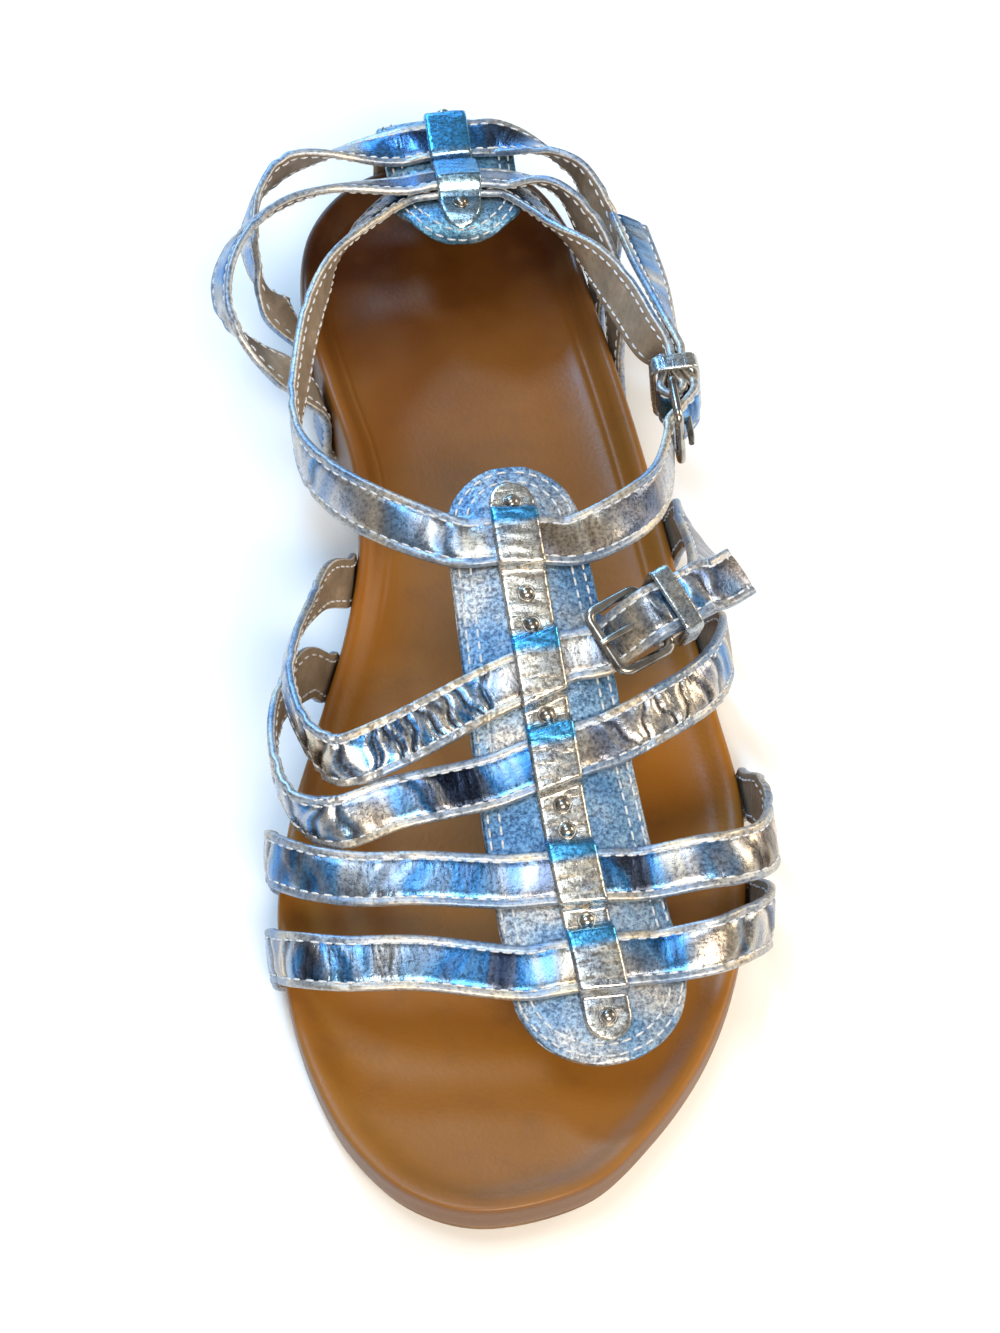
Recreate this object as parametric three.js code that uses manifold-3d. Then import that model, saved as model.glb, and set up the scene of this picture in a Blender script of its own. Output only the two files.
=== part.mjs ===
// A flat gladiator sandal for the left foot, empty and standing on its sole, in millimetres.
// The toe points along -Y, the outer side of the foot is +X, and +Z is up. The origin is on the
// floor, under the middle of the heel. Curved neighbours keep a small gap.

import * as THREE from 'three';
import { mergeVertices } from 'three/addons/utils/BufferGeometryUtils.js';
import Module from 'manifold-3d';

const wasm = await Module();
wasm.setup();

// Sole and footbed
const SOLE_LENGTH = 246;
const BALL_WIDTH = 89.5;
const HEEL_BACK = 30;
const OUTSOLE_THICKNESS = 3;
const OUTSOLE_INSET = 1.2;
const OUTSOLE_BEVEL = 0.8;
const OUTSOLE_LAP = 6;
const BALL_BED_HEIGHT = 8.5;
const HEEL_BED_HEIGHT = 17;
const RIM_RISE = 6;
const TOE_SPRING = 3.5;
const ARCH_LIFT = 4;

// How finely curves are divided
const OUTLINE_STEPS = 32;
const EDGE_SAMPLES = 80;
const PER_SPAN = 6;
const PANEL_PER_SPAN = 16;
const PANEL_SAMPLES = 90;
const ROUND_STEPS = 5;
const ROUND_START = 0.25;
const CORNER_STEPS = 3;
const PRONG_STEPS = 14;
const PRONG_SIDES = 6;
const RIVET_SIDES = 8;
const CHORD_TOLERANCE = 0.18;

// Straps
const STRAP_WIDTH = 10;
const STRAP_THICKNESS = 1.6;
const STRAP_TUCK = 9;
const STRAP_EDGE = 1.1;
const STRAP_EDGE_SINK = 0.5;
const CROSSING_OVERHANG = 1.5;
const INSTEP_HEIGHT = 50;

// The hidden end of a strap: under the footbed, round its lower edge and up its wall
const ROOT_STRAIGHT = 3;
const ROOT_TURN = 0.8;
const ROOT_CORNER_REACH = 0.72;
const ROOT_CORNER_RISE = 0.75;
const ROOT_WALL_RISE = 2.6;
const ROOT_TOP_SHARE = 0.75;
const ROOT_FLARE = 0.1;
const SLOPE_SPAN = 1;

// Gaps between neighbours
const WALL_GAP = 0.6;
const LAYER_GAP = 0.45;
const JOINT_GAP = 0.3;
const ROOT_GAP = 0.45;
const POCKET_GAP = 0.42;
const POCKET_OPEN = 2;

// Instep panel and heel stay, each with a riveted keeper strip
const PANEL_THICKNESS = 1.8;
const PANEL_TOP_WIDTH = 25;
const PANEL_TOE_WIDTH = 33;
const STAY_BASE_WIDTH = 31;
const STAY_TOP_WIDTH = 26;
const KEEPER_WIDTH = 8.5;
const KEEPER_THICKNESS = 1.3;
const KEEPER_ROUNDING = [0.04, 0.3, 0.7, 1];
const BUMP_RAMP = 0.3;
const BUMP_GAP = 0.3;
const STAY_WALL_STOP = 1;
const RIVET_RADIUS = 1.3;
const RIVET_HEIGHT = 1.1;
const SHANK_RADIUS = 0.7;
const DOME_SHOULDER = { radius: 0.8, height: 0.65 };
const TAIL_RADIUS = 1.3;
const TAIL_THICKNESS = 0.5;

// Buckles
const WIRE = 2;
const FRAME_LENGTH = 13;
const FRAME_SIDE_GAP = 0.6;
const FRAME_CORNER = 2.2;
const FOLD_RETURN = 8;
const FOLD_ANGLES = [-90, -60, -30, 0, 30, 60, 90];
const PRONG_RADIUS = 0.8;
const LOOP_WIDTH = 4;
const LOOP_THICKNESS = 1;
const LOOP_GAP = 1;
const LOOP_CORNER = 1.4;
const LOOP_PLACE = 9.4;
const LOOP_MARGIN = 3;

// Half widths of the sole, as shares of the ball width, from the heel to the toe tip.
const SOLE_SIDES = [
  { along: 0.025, inner: 0.215, outer: 0.205 },
  { along: 0.08, inner: 0.325, outer: 0.3 },
  { along: 0.16, inner: 0.348, outer: 0.345 },
  { along: 0.257, inner: 0.295, outer: 0.397 },
  { along: 0.336, inner: 0.24, outer: 0.438 },
  { along: 0.415, inner: 0.226, outer: 0.475 },
  { along: 0.494, inner: 0.262, outer: 0.512 },
  { along: 0.573, inner: 0.325, outer: 0.552 },
  { along: 0.652, inner: 0.385, outer: 0.585 },
  { along: 0.741, inner: 0.416, outer: 0.575 },
  { along: 0.81, inner: 0.397, outer: 0.535 },
  { along: 0.88, inner: 0.348, outer: 0.452 },
  { along: 0.94, inner: 0.27, outer: 0.332 },
  { along: 0.982, inner: 0.16, outer: 0.205 },
];
const TOE_ACROSS = -0.015;

// Heights along the sole: lift goes from the ball's bed to the heel's, arch and spring raise the
// underside, and rim is a share of the rim's rise.
const SOLE_HEIGHTS = [
  { along: 0, lift: 1, arch: 0, spring: 0, rim: 1 },
  { along: 0.24, lift: 1, arch: 0, spring: 0, rim: 0.95 },
  { along: 0.395, lift: 0.7, arch: 1, spring: 0, rim: 0.75 },
  { along: 0.515, lift: 0.3, arch: 0.5, spring: 0, rim: 0.55 },
  { along: 0.63, lift: 0.03, arch: 0, spring: 0, rim: 0.42 },
  { along: 0.82, lift: 0, arch: 0, spring: 0, rim: 0.38 },
  { along: 0.92, lift: 0, arch: 0, spring: 0.4, rim: 0.36 },
  { along: 1, lift: 0, arch: 0, spring: 1, rim: 0.34 },
];

// How the footbed's wall, rim and dish follow its edge: inset from the edge in millimetres, and
// the height between the underside (0), the bed (1) and the rim (2).
const FOOTBED_RINGS = [
  { inset: 1.1, level: 0 },
  { inset: 0.1, level: 0.16 },
  { inset: 0, level: 1.2 },
  { inset: 0.5, level: 1.8 },
  { inset: 1.7, level: 2 },
  { inset: 3.2, level: 1.82 },
  { inset: 5.4, level: 1.36 },
  { inset: 9, level: 1.09 },
  { inset: 15, level: 1 },
];

// Middle line of the instep panel, from its top end to its toe end. Every table of places holds
// shares: across of half the ball width, along of the sole's length, up of the instep's height.
const PANEL_LINE = [
  { across: 0.205, along: 0.4475, up: 1.02 },
  { across: 0.238, along: 0.5195, up: 0.974 },
  { across: 0.3, along: 0.6215, up: 0.852 },
  { across: 0.342, along: 0.6835, up: 0.724 },
  { across: 0.41, along: 0.7725, up: 0.586 },
  { across: 0.475, along: 0.8385, up: 0.504 },
  { across: 0.525, along: 0.904, up: 0.43 },
];
const PANEL_ROUND = 75;

// Middle line of the heel stay, from above the footbed's rim to its free end, which has slumped
// forward over the heel.
const STAY_LINE = [
  { across: 0.01, along: -0.0045, up: 0.61 },
  { across: 0.02, along: 0.001, up: 0.67 },
  { across: 0.03, along: 0.018, up: 0.7 },
  { across: 0.045, along: 0.051, up: 0.7 },
  { across: 0.055, along: 0.071, up: 0.69 },
  { across: 0.06, along: 0.084, up: 0.702 },
  { across: 0.075, along: 0.122, up: 0.8 },
  { across: 0.08, along: 0.136, up: 0.83 },
  { across: 0.08, along: 0.147, up: 0.832 },
  { across: 0.08, along: 0.1555, up: 0.796 },
  { across: 0.08, along: 0.1585, up: 0.744 },
];
const STAY_BASE_ROUND = 34;
const STAY_TOP_ROUND = 60;
const STAY_FLATTENS = { from: 0.2, to: 0.5 };
const STAY_POCKET_END = 0.36;

// Where straps cross the instep panel and the stay, as shares of the panel's own length, with
// the skew of each crossing in degrees and the number of straps under that loop.
const PANEL_CROSSINGS = {
  ankle: { at: 0.146, skew: -6, layers: 1 },
  instep: { at: 0.366, skew: 17, layers: 1 },
  vamp: { at: 0.51, skew: 12, layers: 1 },
  ball: { at: 0.703, skew: -7, layers: 1 },
  toe: { at: 0.843, skew: -4, layers: 1 },
};
const STAY_CROSSINGS = {
  low: { at: 0.582, skew: 0, layers: 1 },
  high: { at: 0.809, skew: 0, layers: 2 },
};
const PANEL_KEEPER = { from: 0.04, to: 0.965 };
const STAY_KEEPER = { from: 0.44, to: 0.955 };
const PANEL_RIVETS = [0.078, 0.24, 0.294, 0.44, 0.587, 0.629, 0.7755, 0.93];
const STAY_RIVETS = [0.485, 0.697, 0.908];

// The face of a strap looks away from the middle of the foot or of the ankle, as the wall of an
// ellipse does: centre is a place, and a half size of Infinity leaves a direction out.
const FOOT_CORE = {
  centre: { across: 0.16, along: 0, up: 0.4 },
  halfSize: [44, Infinity, 26],
};
const ANKLE_CORE = {
  centre: { across: 0.09, along: 0.27, up: 0 },
  halfSize: [40, 40, Infinity],
};

// Free stretches of the straps, from the inner side of the foot to the outer side. lean turns
// the strap's face about its own direction, in degrees.
const TOE_STRAP = {
  inner: { along: 0.775, slant: 10 },
  rising: [
    { across: -0.79, along: 0.8, up: 0.38, lean: 0 },
    { across: -0.72, along: 0.8165, up: 0.51, lean: 5 },
    { across: -0.55, along: 0.8265, up: 0.56, lean: 12 },
    { across: -0.25, along: 0.829, up: 0.565, lean: 15 },
  ],
  falling: [
    { across: 0.98, along: 0.822, up: 0.55, lean: 12 },
    { across: 1.08, along: 0.811, up: 0.515, lean: 5 },
    { across: 1.18, along: 0.793, up: 0.43, lean: 0 },
    { across: 1.215, along: 0.773, up: 0.35, lean: 0 },
  ],
  outer: { along: 0.739, slant: 38 },
};
const BALL_STRAP = {
  inner: { along: 0.691, slant: 15 },
  rising: [
    { across: -0.85, along: 0.713, up: 0.39, lean: 0 },
    { across: -0.795, along: 0.735, up: 0.52, lean: 5 },
    { across: -0.67, along: 0.7525, up: 0.59, lean: 12 },
    { across: -0.48, along: 0.763, up: 0.62, lean: 15 },
    { across: -0.22, along: 0.767, up: 0.64, lean: 17 },
  ],
  falling: [
    { across: 0.93, along: 0.761, up: 0.625, lean: 12 },
    { across: 1.07, along: 0.755, up: 0.6, lean: 5 },
    { across: 1.2, along: 0.739, up: 0.53, lean: 0 },
    { across: 1.245, along: 0.713, up: 0.45, lean: 0 },
    { across: 1.225, along: 0.678, up: 0.36, lean: 0 },
  ],
  outer: { along: 0.642, slant: 45 },
};
const VAMP_STRAP = {
  inner: { along: 0.521, slant: 40 },
  rising: [
    { across: -0.68, along: 0.548, up: 0.41, lean: 5 },
    { across: -0.775, along: 0.579, up: 0.49, lean: 12 },
    { across: -0.82, along: 0.62, up: 0.57, lean: 26 },
    { across: -0.8, along: 0.668, up: 0.63, lean: 40 },
    { across: -0.71, along: 0.709, up: 0.67, lean: 50 },
    { across: -0.55, along: 0.7235, up: 0.7, lean: 42 },
    { across: -0.32, along: 0.7155, up: 0.75, lean: 26 },
  ],
  falling: [
    { across: 0.82, along: 0.644, up: 0.765, lean: 14 },
    { across: 0.97, along: 0.622, up: 0.735, lean: 15 },
    { across: 1.06, along: 0.598, up: 0.68, lean: 18 },
    { across: 1.12, along: 0.566, up: 0.59, lean: 15 },
    { across: 1.13, along: 0.538, up: 0.48, lean: 5 },
  ],
  outer: { along: 0.509, slant: 25 },
};
const INSTEP_STRAP = {
  inner: { along: 0.427, slant: 45 },
  rising: [
    { across: -0.59, along: 0.472, up: 0.47, lean: 5 },
    { across: -0.685, along: 0.524, up: 0.61, lean: 16 },
    { across: -0.735, along: 0.573, up: 0.72, lean: 32 },
    { across: -0.73, along: 0.622, up: 0.785, lean: 50 },
    { across: -0.64, along: 0.667, up: 0.81, lean: 58 },
    { across: -0.53, along: 0.6885, up: 0.848, lean: 50 },
    { across: -0.33, along: 0.679, up: 0.873, lean: 32 },
  ],
  buckle: { across: 0.68, along: 0.597, up: 0.955, heading: 30, rise: 1, lean: 8 },
  tail: [
    { across: 1.05, along: 0.566, up: 1.015, lean: 10 },
    { across: 1.16, along: 0.551, up: 0.99, lean: 5 },
  ],
};
const INSTEP_BUCKLE_STRAP = {
  outer: { along: 0.405, slant: 20 },
  falling: [
    { across: 1.03, along: 0.546, up: 0.9, lean: 10 },
    { across: 1.045, along: 0.506, up: 0.79, lean: 5 },
    { across: 1.02, along: 0.462, up: 0.65, lean: 0 },
    { across: 1, along: 0.427, up: 0.5, lean: 0 },
  ],
};
const ANKLE_STRAP = {
  buckle: { across: 0.975, along: 0.383, up: 0.885, heading: 93, rise: -4, lean: -8 },
  fromBuckle: [
    { across: 0.89, along: 0.296, up: 0.875, lean: 22 },
    { across: 0.8, along: 0.252, up: 0.86, lean: 26 },
    { across: 0.7, along: 0.208, up: 0.83, lean: 14 },
    { across: 0.56, along: 0.163, up: 0.79, lean: -25 },
  ],
  toFront: [
    { across: -0.46, along: 0.163, up: 0.79, lean: -30 },
    { across: -0.555, along: 0.207, up: 0.82, lean: 0 },
    { across: -0.63, along: 0.257, up: 0.83, lean: 10 },
    { across: -0.675, along: 0.311, up: 0.83, lean: 10 },
    { across: -0.7, along: 0.357, up: 0.845, lean: 0 },
    { across: -0.67, along: 0.401, up: 0.88, lean: -12 },
    { across: -0.56, along: 0.442, up: 0.935, lean: -28 },
    { across: -0.36, along: 0.4805, up: 0.985, lean: -50 },
  ],
  toBuckle: [
    { across: 0.72, along: 0.492, up: 0.985, lean: -50 },
    { across: 0.86, along: 0.461, up: 0.95, lean: -28 },
  ],
  tail: [
    { across: 0.98, along: 0.272, up: 0.86, lean: -25 },
    { across: 0.93, along: 0.212, up: 0.82, lean: -45 },
    { across: 0.86, along: 0.148, up: 0.79, lean: -50 },
  ],
};
const HIGH_HEEL_STRAP = {
  inner: { along: 0.264, slant: 0 },
  rising: [
    { across: -0.74, along: 0.267, up: 0.56, lean: 0 },
    { across: -0.88, along: 0.259, up: 0.67, lean: 0 },
    { across: -1, along: 0.238, up: 0.765, lean: 15 },
    { across: -1.03, along: 0.205, up: 0.82, lean: 30 },
    { across: -0.96, along: 0.167, up: 0.85, lean: 35 },
    { across: -0.78, along: 0.131, up: 0.86, lean: 35 },
    { across: -0.55, along: 0.111, up: 0.85, lean: 45 },
  ],
  falling: [
    { across: 0.53, along: 0.113, up: 0.83, lean: 30 },
    { across: 0.68, along: 0.148, up: 0.75, lean: 0 },
    { across: 0.78, along: 0.193, up: 0.63, lean: 0 },
  ],
  outer: { along: 0.237, slant: -20 },
};
const LOW_HEEL_STRAP = {
  inner: { along: 0.191, slant: 0 },
  rising: [
    { across: -0.8, along: 0.188, up: 0.54, lean: 0 },
    { across: -0.885, along: 0.16, up: 0.605, lean: 20 },
    { across: -0.92, along: 0.123, up: 0.655, lean: 30 },
    { across: -0.875, along: 0.084, up: 0.7, lean: 24 },
    { across: -0.72, along: 0.055, up: 0.73, lean: 20 },
  ],
  falling: [
    { across: 0.62, along: 0.066, up: 0.72, lean: 20 },
    { across: 0.71, along: 0.098, up: 0.69, lean: 0 },
    { across: 0.76, along: 0.133, up: 0.6, lean: 0 },
  ],
  outer: { along: 0.166, slant: -10 },
};

// A strap's way through its buckle, from bar to bar. bar is the front bar (-1) or the heel bar
// (1), run goes on from it in wire widths, and out is a share of the height named by layer.
const BUCKLE_PASS = [
  { bar: -1, run: -0.5, layer: 'under', out: 1 },
  { bar: -1, run: 0.8, layer: 'under', out: 0.9 },
  { bar: 0, run: -0.4, layer: 'over', out: 0.16 },
  { bar: 1, run: -1, layer: 'over', out: 0.96 },
  { bar: 1, run: 0.3, layer: 'over', out: 1 },
];

// The prong's line, from its hook under the heel bar to its tip on the front bar, in shares of
// the hook's reach.
const PRONG_LINE = [
  { bar: 1, run: 0.75, out: -0.62 },
  { bar: 1, run: 1, out: 0.2 },
  { bar: 1, run: 0.45, out: 0.92 },
  { bar: 1, run: -0.6, out: 1.05 },
  { bar: 0, run: 0, out: 1.05 },
  { bar: -1, run: 0, out: 1.02 },
  { bar: -1, run: -0.57, out: 0.95 },
];

// Finishes
const silver = { color: 0xb4bdc6, roughness: 0.3, metalness: 0.85 };
const tan = { color: 0x8a5a26, roughness: 0.5, metalness: 0 };
const rubber = { color: 0x6e3f14, roughness: 0.7, metalness: 0 };
const nickel = { color: 0x8f8a82, roughness: 0.25, metalness: 1 };

const UP = new THREE.Vector3(0, 0, 1);
const degrees = THREE.MathUtils.degToRad;

function place({ across, along, up }) {
  return new THREE.Vector3(
    (across * BALL_WIDTH) / 2,
    HEEL_BACK - along * SOLE_LENGTH,
    up * INSTEP_HEIGHT,
  );
}

// The way from a core to a place, which a strap's face looks along.
function awayFrom({ centre, halfSize }, p) {
  const [x, y, z] = p.clone().sub(place(centre)).toArray();
  return new THREE.Vector3(x / halfSize[0] ** 2, y / halfSize[1] ** 2, z / halfSize[2] ** 2);
}

function alongOf(y) {
  return (HEEL_BACK - y) / SOLE_LENGTH;
}

// A smooth curve through one column of a table, which never overshoots its rows.
function column(rows, key) {
  const x = rows.map((row) => row.along);
  const y = rows.map((row) => row[key]);
  const slopes = y.slice(1).map((value, i) => (value - y[i]) / (x[i + 1] - x[i]));
  const tangents = y.map((_, i) => {
    const before = slopes[Math.max(0, i - 1)];
    const after = slopes[Math.min(slopes.length - 1, i)];
    return before * after <= 0 ? 0 : (2 * before * after) / (before + after);
  });
  return (at) => {
    const v = THREE.MathUtils.clamp(at, x[0], x[x.length - 1]);
    const i = Math.min(slopes.length - 1, Math.max(0, x.findIndex((k) => k >= v) - 1));
    const span = x[i + 1] - x[i];
    const t = (v - x[i]) / span;
    const rise = y[i + 1] - y[i];
    const bow = t * (1 - t) * span;
    const blend = t * t * (3 - 2 * t);
    return y[i] + rise * blend + bow * (tangents[i] * (1 - t) - tangents[i + 1] * t);
  };
}

const lift = column(SOLE_HEIGHTS, 'lift');
const arch = column(SOLE_HEIGHTS, 'arch');
const spring = column(SOLE_HEIGHTS, 'spring');
const rim = column(SOLE_HEIGHTS, 'rim');

function undersideHeight(y) {
  const along = alongOf(y);
  return arch(along) * ARCH_LIFT + spring(along) * TOE_SPRING;
}

function jointHeight(y) {
  return undersideHeight(y) + OUTSOLE_THICKNESS;
}

function bedHeight(y) {
  const along = alongOf(y);
  const risen = lift(along) * (HEEL_BED_HEIGHT - BALL_BED_HEIGHT);
  return BALL_BED_HEIGHT + risen + spring(along) * TOE_SPRING;
}

function rimHeight(y) {
  return bedHeight(y) + rim(alongOf(y)) * RIM_RISE;
}

// Height at a level between the footbed's underside (0), its bed (1) and its rim (2).
function levelHeight(y, level) {
  const foot = jointHeight(y) + JOINT_GAP;
  if (level <= 1) return THREE.MathUtils.lerp(foot, bedHeight(y), level);
  return THREE.MathUtils.lerp(bedHeight(y), rimHeight(y), level - 1);
}

// The sole's edge: OUTLINE_STEPS points down the inner side from the heel to the toe tip, and as
// many back up the outer side, each with its outward direction.
function soleEdge() {
  const point = (across, along) => place({ across: across * 2, along, up: 0 });
  const curve = new THREE.CatmullRomCurve3(
    [
      point(0, 0),
      ...SOLE_SIDES.map((row) => point(-row.inner, row.along)),
      point(TOE_ACROSS, 1),
      ...[...SOLE_SIDES].reverse().map((row) => point(row.outer, row.along)),
    ],
    true,
    'centripetal',
  );
  const fine = curve.getPoints(SOLE_SIDES.length * EDGE_SAMPLES);
  const middle = (fine.length - 1) / 2;
  const halves = [fine.slice(0, middle + 1), fine.slice(middle)];
  const edge = halves.flatMap((half) => evenly(half, OUTLINE_STEPS).slice(0, -1));
  return edge.map((p, i) => {
    const before = edge[(i + edge.length - 1) % edge.length];
    const after = edge[(i + 1) % edge.length];
    const forward = after.clone().sub(before).normalize();
    return { p, out: new THREE.Vector3(forward.y, -forward.x, 0) };
  });
}

// Points at even distances along a line of points.
function evenly(points, steps) {
  const lengths = [0];
  for (let i = 1; i < points.length; i += 1) {
    lengths.push(lengths[i - 1] + points[i].distanceTo(points[i - 1]));
  }
  const total = lengths[lengths.length - 1];
  return Array.from({ length: steps + 1 }, (_, k) => {
    const want = (total * k) / steps;
    const i = Math.min(points.length - 2, Math.max(0, lengths.findIndex((l) => l >= want) - 1));
    const share = (want - lengths[i]) / (lengths[i + 1] - lengths[i]);
    return points[i].clone().lerp(points[i + 1], share);
  });
}

const edge = soleEdge();

// A place on the sole's edge at a share of its length, with its outward and forward directions.
function edgeAt(side, along) {
  const y = HEEL_BACK - along * SOLE_LENGTH;
  const inner = edge.slice(0, OUTLINE_STEPS + 1);
  const outer = [...edge.slice(OUTLINE_STEPS), edge[0]];
  const half = side === 'inner' ? inner : outer;
  for (let i = 1; i < half.length; i += 1) {
    const a = half[i - 1];
    const b = half[i];
    if ((a.p.y - y) * (b.p.y - y) <= 0) {
      const share = (y - a.p.y) / (b.p.y - a.p.y);
      const out = a.out.clone().lerp(b.out, share).normalize();
      const forward = new THREE.Vector3(-out.y, out.x, 0);
      if (forward.y > 0) forward.negate();
      return { p: a.p.clone().lerp(b.p, share), out, forward };
    }
  }
  throw new Error(`no edge at ${along}`);
}

// A closed body from vertices and triangles, turned so that its faces point out.
function solid(vertices, triangles) {
  let volume = 0;
  const [a, b, c] = [new THREE.Vector3(), new THREE.Vector3(), new THREE.Vector3()];
  for (const [i, j, k] of triangles) {
    a.copy(vertices[i]);
    b.copy(vertices[j]);
    c.copy(vertices[k]);
    volume += a.dot(b.cross(c));
  }
  const turned = volume < 0 ? triangles.map(([i, j, k]) => [i, k, j]) : triangles;
  const geometry = new THREE.BufferGeometry();
  geometry.setAttribute(
    'position',
    new THREE.Float32BufferAttribute(vertices.flatMap((v) => v.toArray()), 3),
  );
  geometry.setIndex(turned.flat());
  return geometry;
}

// A body between rings of points, closed by strips across the first and last ring.
function lofted(rings) {
  const count = rings[0].length;
  const half = count / 2;
  const triangles = [];
  for (let r = 0; r + 1 < rings.length; r += 1) {
    for (let i = 0; i < count; i += 1) {
      const a = r * count + i;
      const b = r * count + ((i + 1) % count);
      triangles.push([a, b, b + count], [a, b + count, a + count]);
    }
  }
  const cap = (start, facing) => {
    for (let i = 0; i < half; i += 1) {
      const far = (count - i) % count;
      const corners = [i, i + 1, count - i - 1, far].map((k) => start + k);
      const faces = [
        [corners[0], corners[1], corners[2]],
        [corners[0], corners[2], corners[3]],
      ];
      for (const [p, q, s] of faces) {
        if (p !== q && q !== s && p !== s) triangles.push(facing > 0 ? [p, q, s] : [p, s, q]);
      }
    }
  };
  cap(0, -1);
  cap((rings.length - 1) * count, 1);
  return solid(rings.flat(), triangles);
}

function edgeRing(inset, height) {
  return edge.map(({ p, out }) => {
    const moved = p.clone().addScaledVector(out, -inset);
    moved.z = height(moved.y);
    return moved;
  });
}

function toManifold(geometry) {
  const plain = geometry.clone();
  plain.deleteAttribute('normal');
  plain.deleteAttribute('uv');
  const merged = mergeVertices(plain, 1e-4);
  return new wasm.Manifold(
    new wasm.Mesh({
      numProp: 3,
      vertProperties: new Float32Array(merged.attributes.position.array),
      triVerts: new Uint32Array(merged.index.array),
    }),
  );
}

function toGeometry(manifold) {
  const { vertProperties, triVerts } = manifold.getMesh();
  const geometry = new THREE.BufferGeometry();
  geometry.setAttribute('position', new THREE.Float32BufferAttribute(vertProperties, 3));
  geometry.setIndex(new THREE.Uint32BufferAttribute(triVerts, 1));
  return geometry;
}

// Takes the tools away from a body, and keeps its main part.
function cut(geometry, tools) {
  const left = tools.reduce((body, tool) => body.subtract(toManifold(tool)), toManifold(geometry));
  return toGeometry(left.decompose().reduce((a, b) => (a.volume() > b.volume() ? a : b)));
}

// Stations along a route of places with faces: a point, the direction of travel, the way that
// the face looks, and the way across.
function stationsOf(route, perSpan = PER_SPAN) {
  const curve = new THREE.CatmullRomCurve3(route.map((node) => node.p), false, 'centripetal');
  const faces = new THREE.CatmullRomCurve3(route.map((node) => node.face), false, 'catmullrom');
  const steps = (route.length - 1) * perSpan;
  return Array.from({ length: steps + 1 }, (_, i) => {
    const t = i / steps;
    return oriented(curve.getPoint(t), curve.getTangent(t), faces.getPoint(t));
  });
}

function oriented(p, travel, face) {
  const t = travel.clone().normalize();
  const n = face.clone().addScaledVector(t, -face.dot(t)).normalize();
  return { p, t, n, w: t.clone().cross(n) };
}

// Drops the stations that leave both edges of a ribbon within the tolerance of the chords.
function thinned(stations, half = STRAP_WIDTH / 2) {
  const sides = [-half, half];
  const edges = stations.map(({ p, w }) => sides.map((x) => p.clone().addScaledVector(w, x)));
  const chord = new THREE.Line3();
  const nearest = new THREE.Vector3();
  const near = (corner, side, from, to) => {
    chord.set(edges[from][side], edges[to][side]).closestPointToPoint(corner, true, nearest);
    return nearest.distanceTo(corner) < CHORD_TOLERANCE;
  };
  const fits = (from, to) => edges
    .slice(from + 1, to)
    .every((pair) => pair.every((corner, side) => near(corner, side, from, to)));
  const kept = [0];
  for (let i = 2; i < stations.length; i += 1) {
    if (!fits(kept[kept.length - 1], i)) kept.push(i - 1);
  }
  return [...kept, stations.length - 1].map((i) => stations[i]);
}

// A body swept through stations, with a closed section of [across, out] pairs at each one.
function swept(stations, sectionAt) {
  const sections = stations.map((station, i) => sectionAt(station, i));
  const count = sections[0].length;
  const vertices = [];
  stations.forEach((station, i) => {
    for (const [across, out] of sections[i]) {
      vertices.push(
        station.p.clone().addScaledVector(station.w, across).addScaledVector(station.n, out),
      );
    }
  });
  const triangles = [];
  for (let r = 0; r + 1 < stations.length; r += 1) {
    for (let i = 0; i < count; i += 1) {
      const a = r * count + i;
      const b = r * count + ((i + 1) % count);
      triangles.push([a, b, b + count], [a, b + count, a + count]);
    }
  }
  const end = (stations.length - 1) * count;
  const flat = THREE.ShapeUtils.triangulateShape(
    sections[0].map(([x, y]) => new THREE.Vector2(x, y)),
    [],
  );
  for (const [p, q, s] of flat) {
    triangles.push([p, s, q], [end + p, end + q, end + s]);
  }
  const turned = fixCaps(triangles, flat.length, sections[0]);
  return solid(vertices, turned);
}

// The caps follow the section's own sense of rotation.
function fixCaps(triangles, capCount, section) {
  const area = THREE.ShapeUtils.area(section.map(([x, y]) => new THREE.Vector2(x, y)));
  const flatFirst = triangles.length - capCount * 2;
  if (area > 0) return triangles;
  return triangles.map((face, i) => (i < flatFirst ? face : [face[0], face[2], face[1]]));
}

// Section of a strap: flat lining, and a silver face whose edges are rolled.
function strapSection(width, thickness) {
  const half = width / 2;
  const face = thickness / 2;
  return [
    [-half, -face],
    [half, -face],
    [half, face - STRAP_EDGE_SINK],
    [half - STRAP_EDGE, face],
    [-half + STRAP_EDGE, face],
    [-half, face - STRAP_EDGE_SINK],
  ];
}

function plainSection(width, thickness) {
  const half = width / 2;
  const face = thickness / 2;
  return [
    [-half, -face],
    [half, -face],
    [half, face],
    [-half, face],
  ];
}

function strapBody({ stations }) {
  return swept(stations, () => strapSection(STRAP_WIDTH, STRAP_THICKNESS));
}

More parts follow.
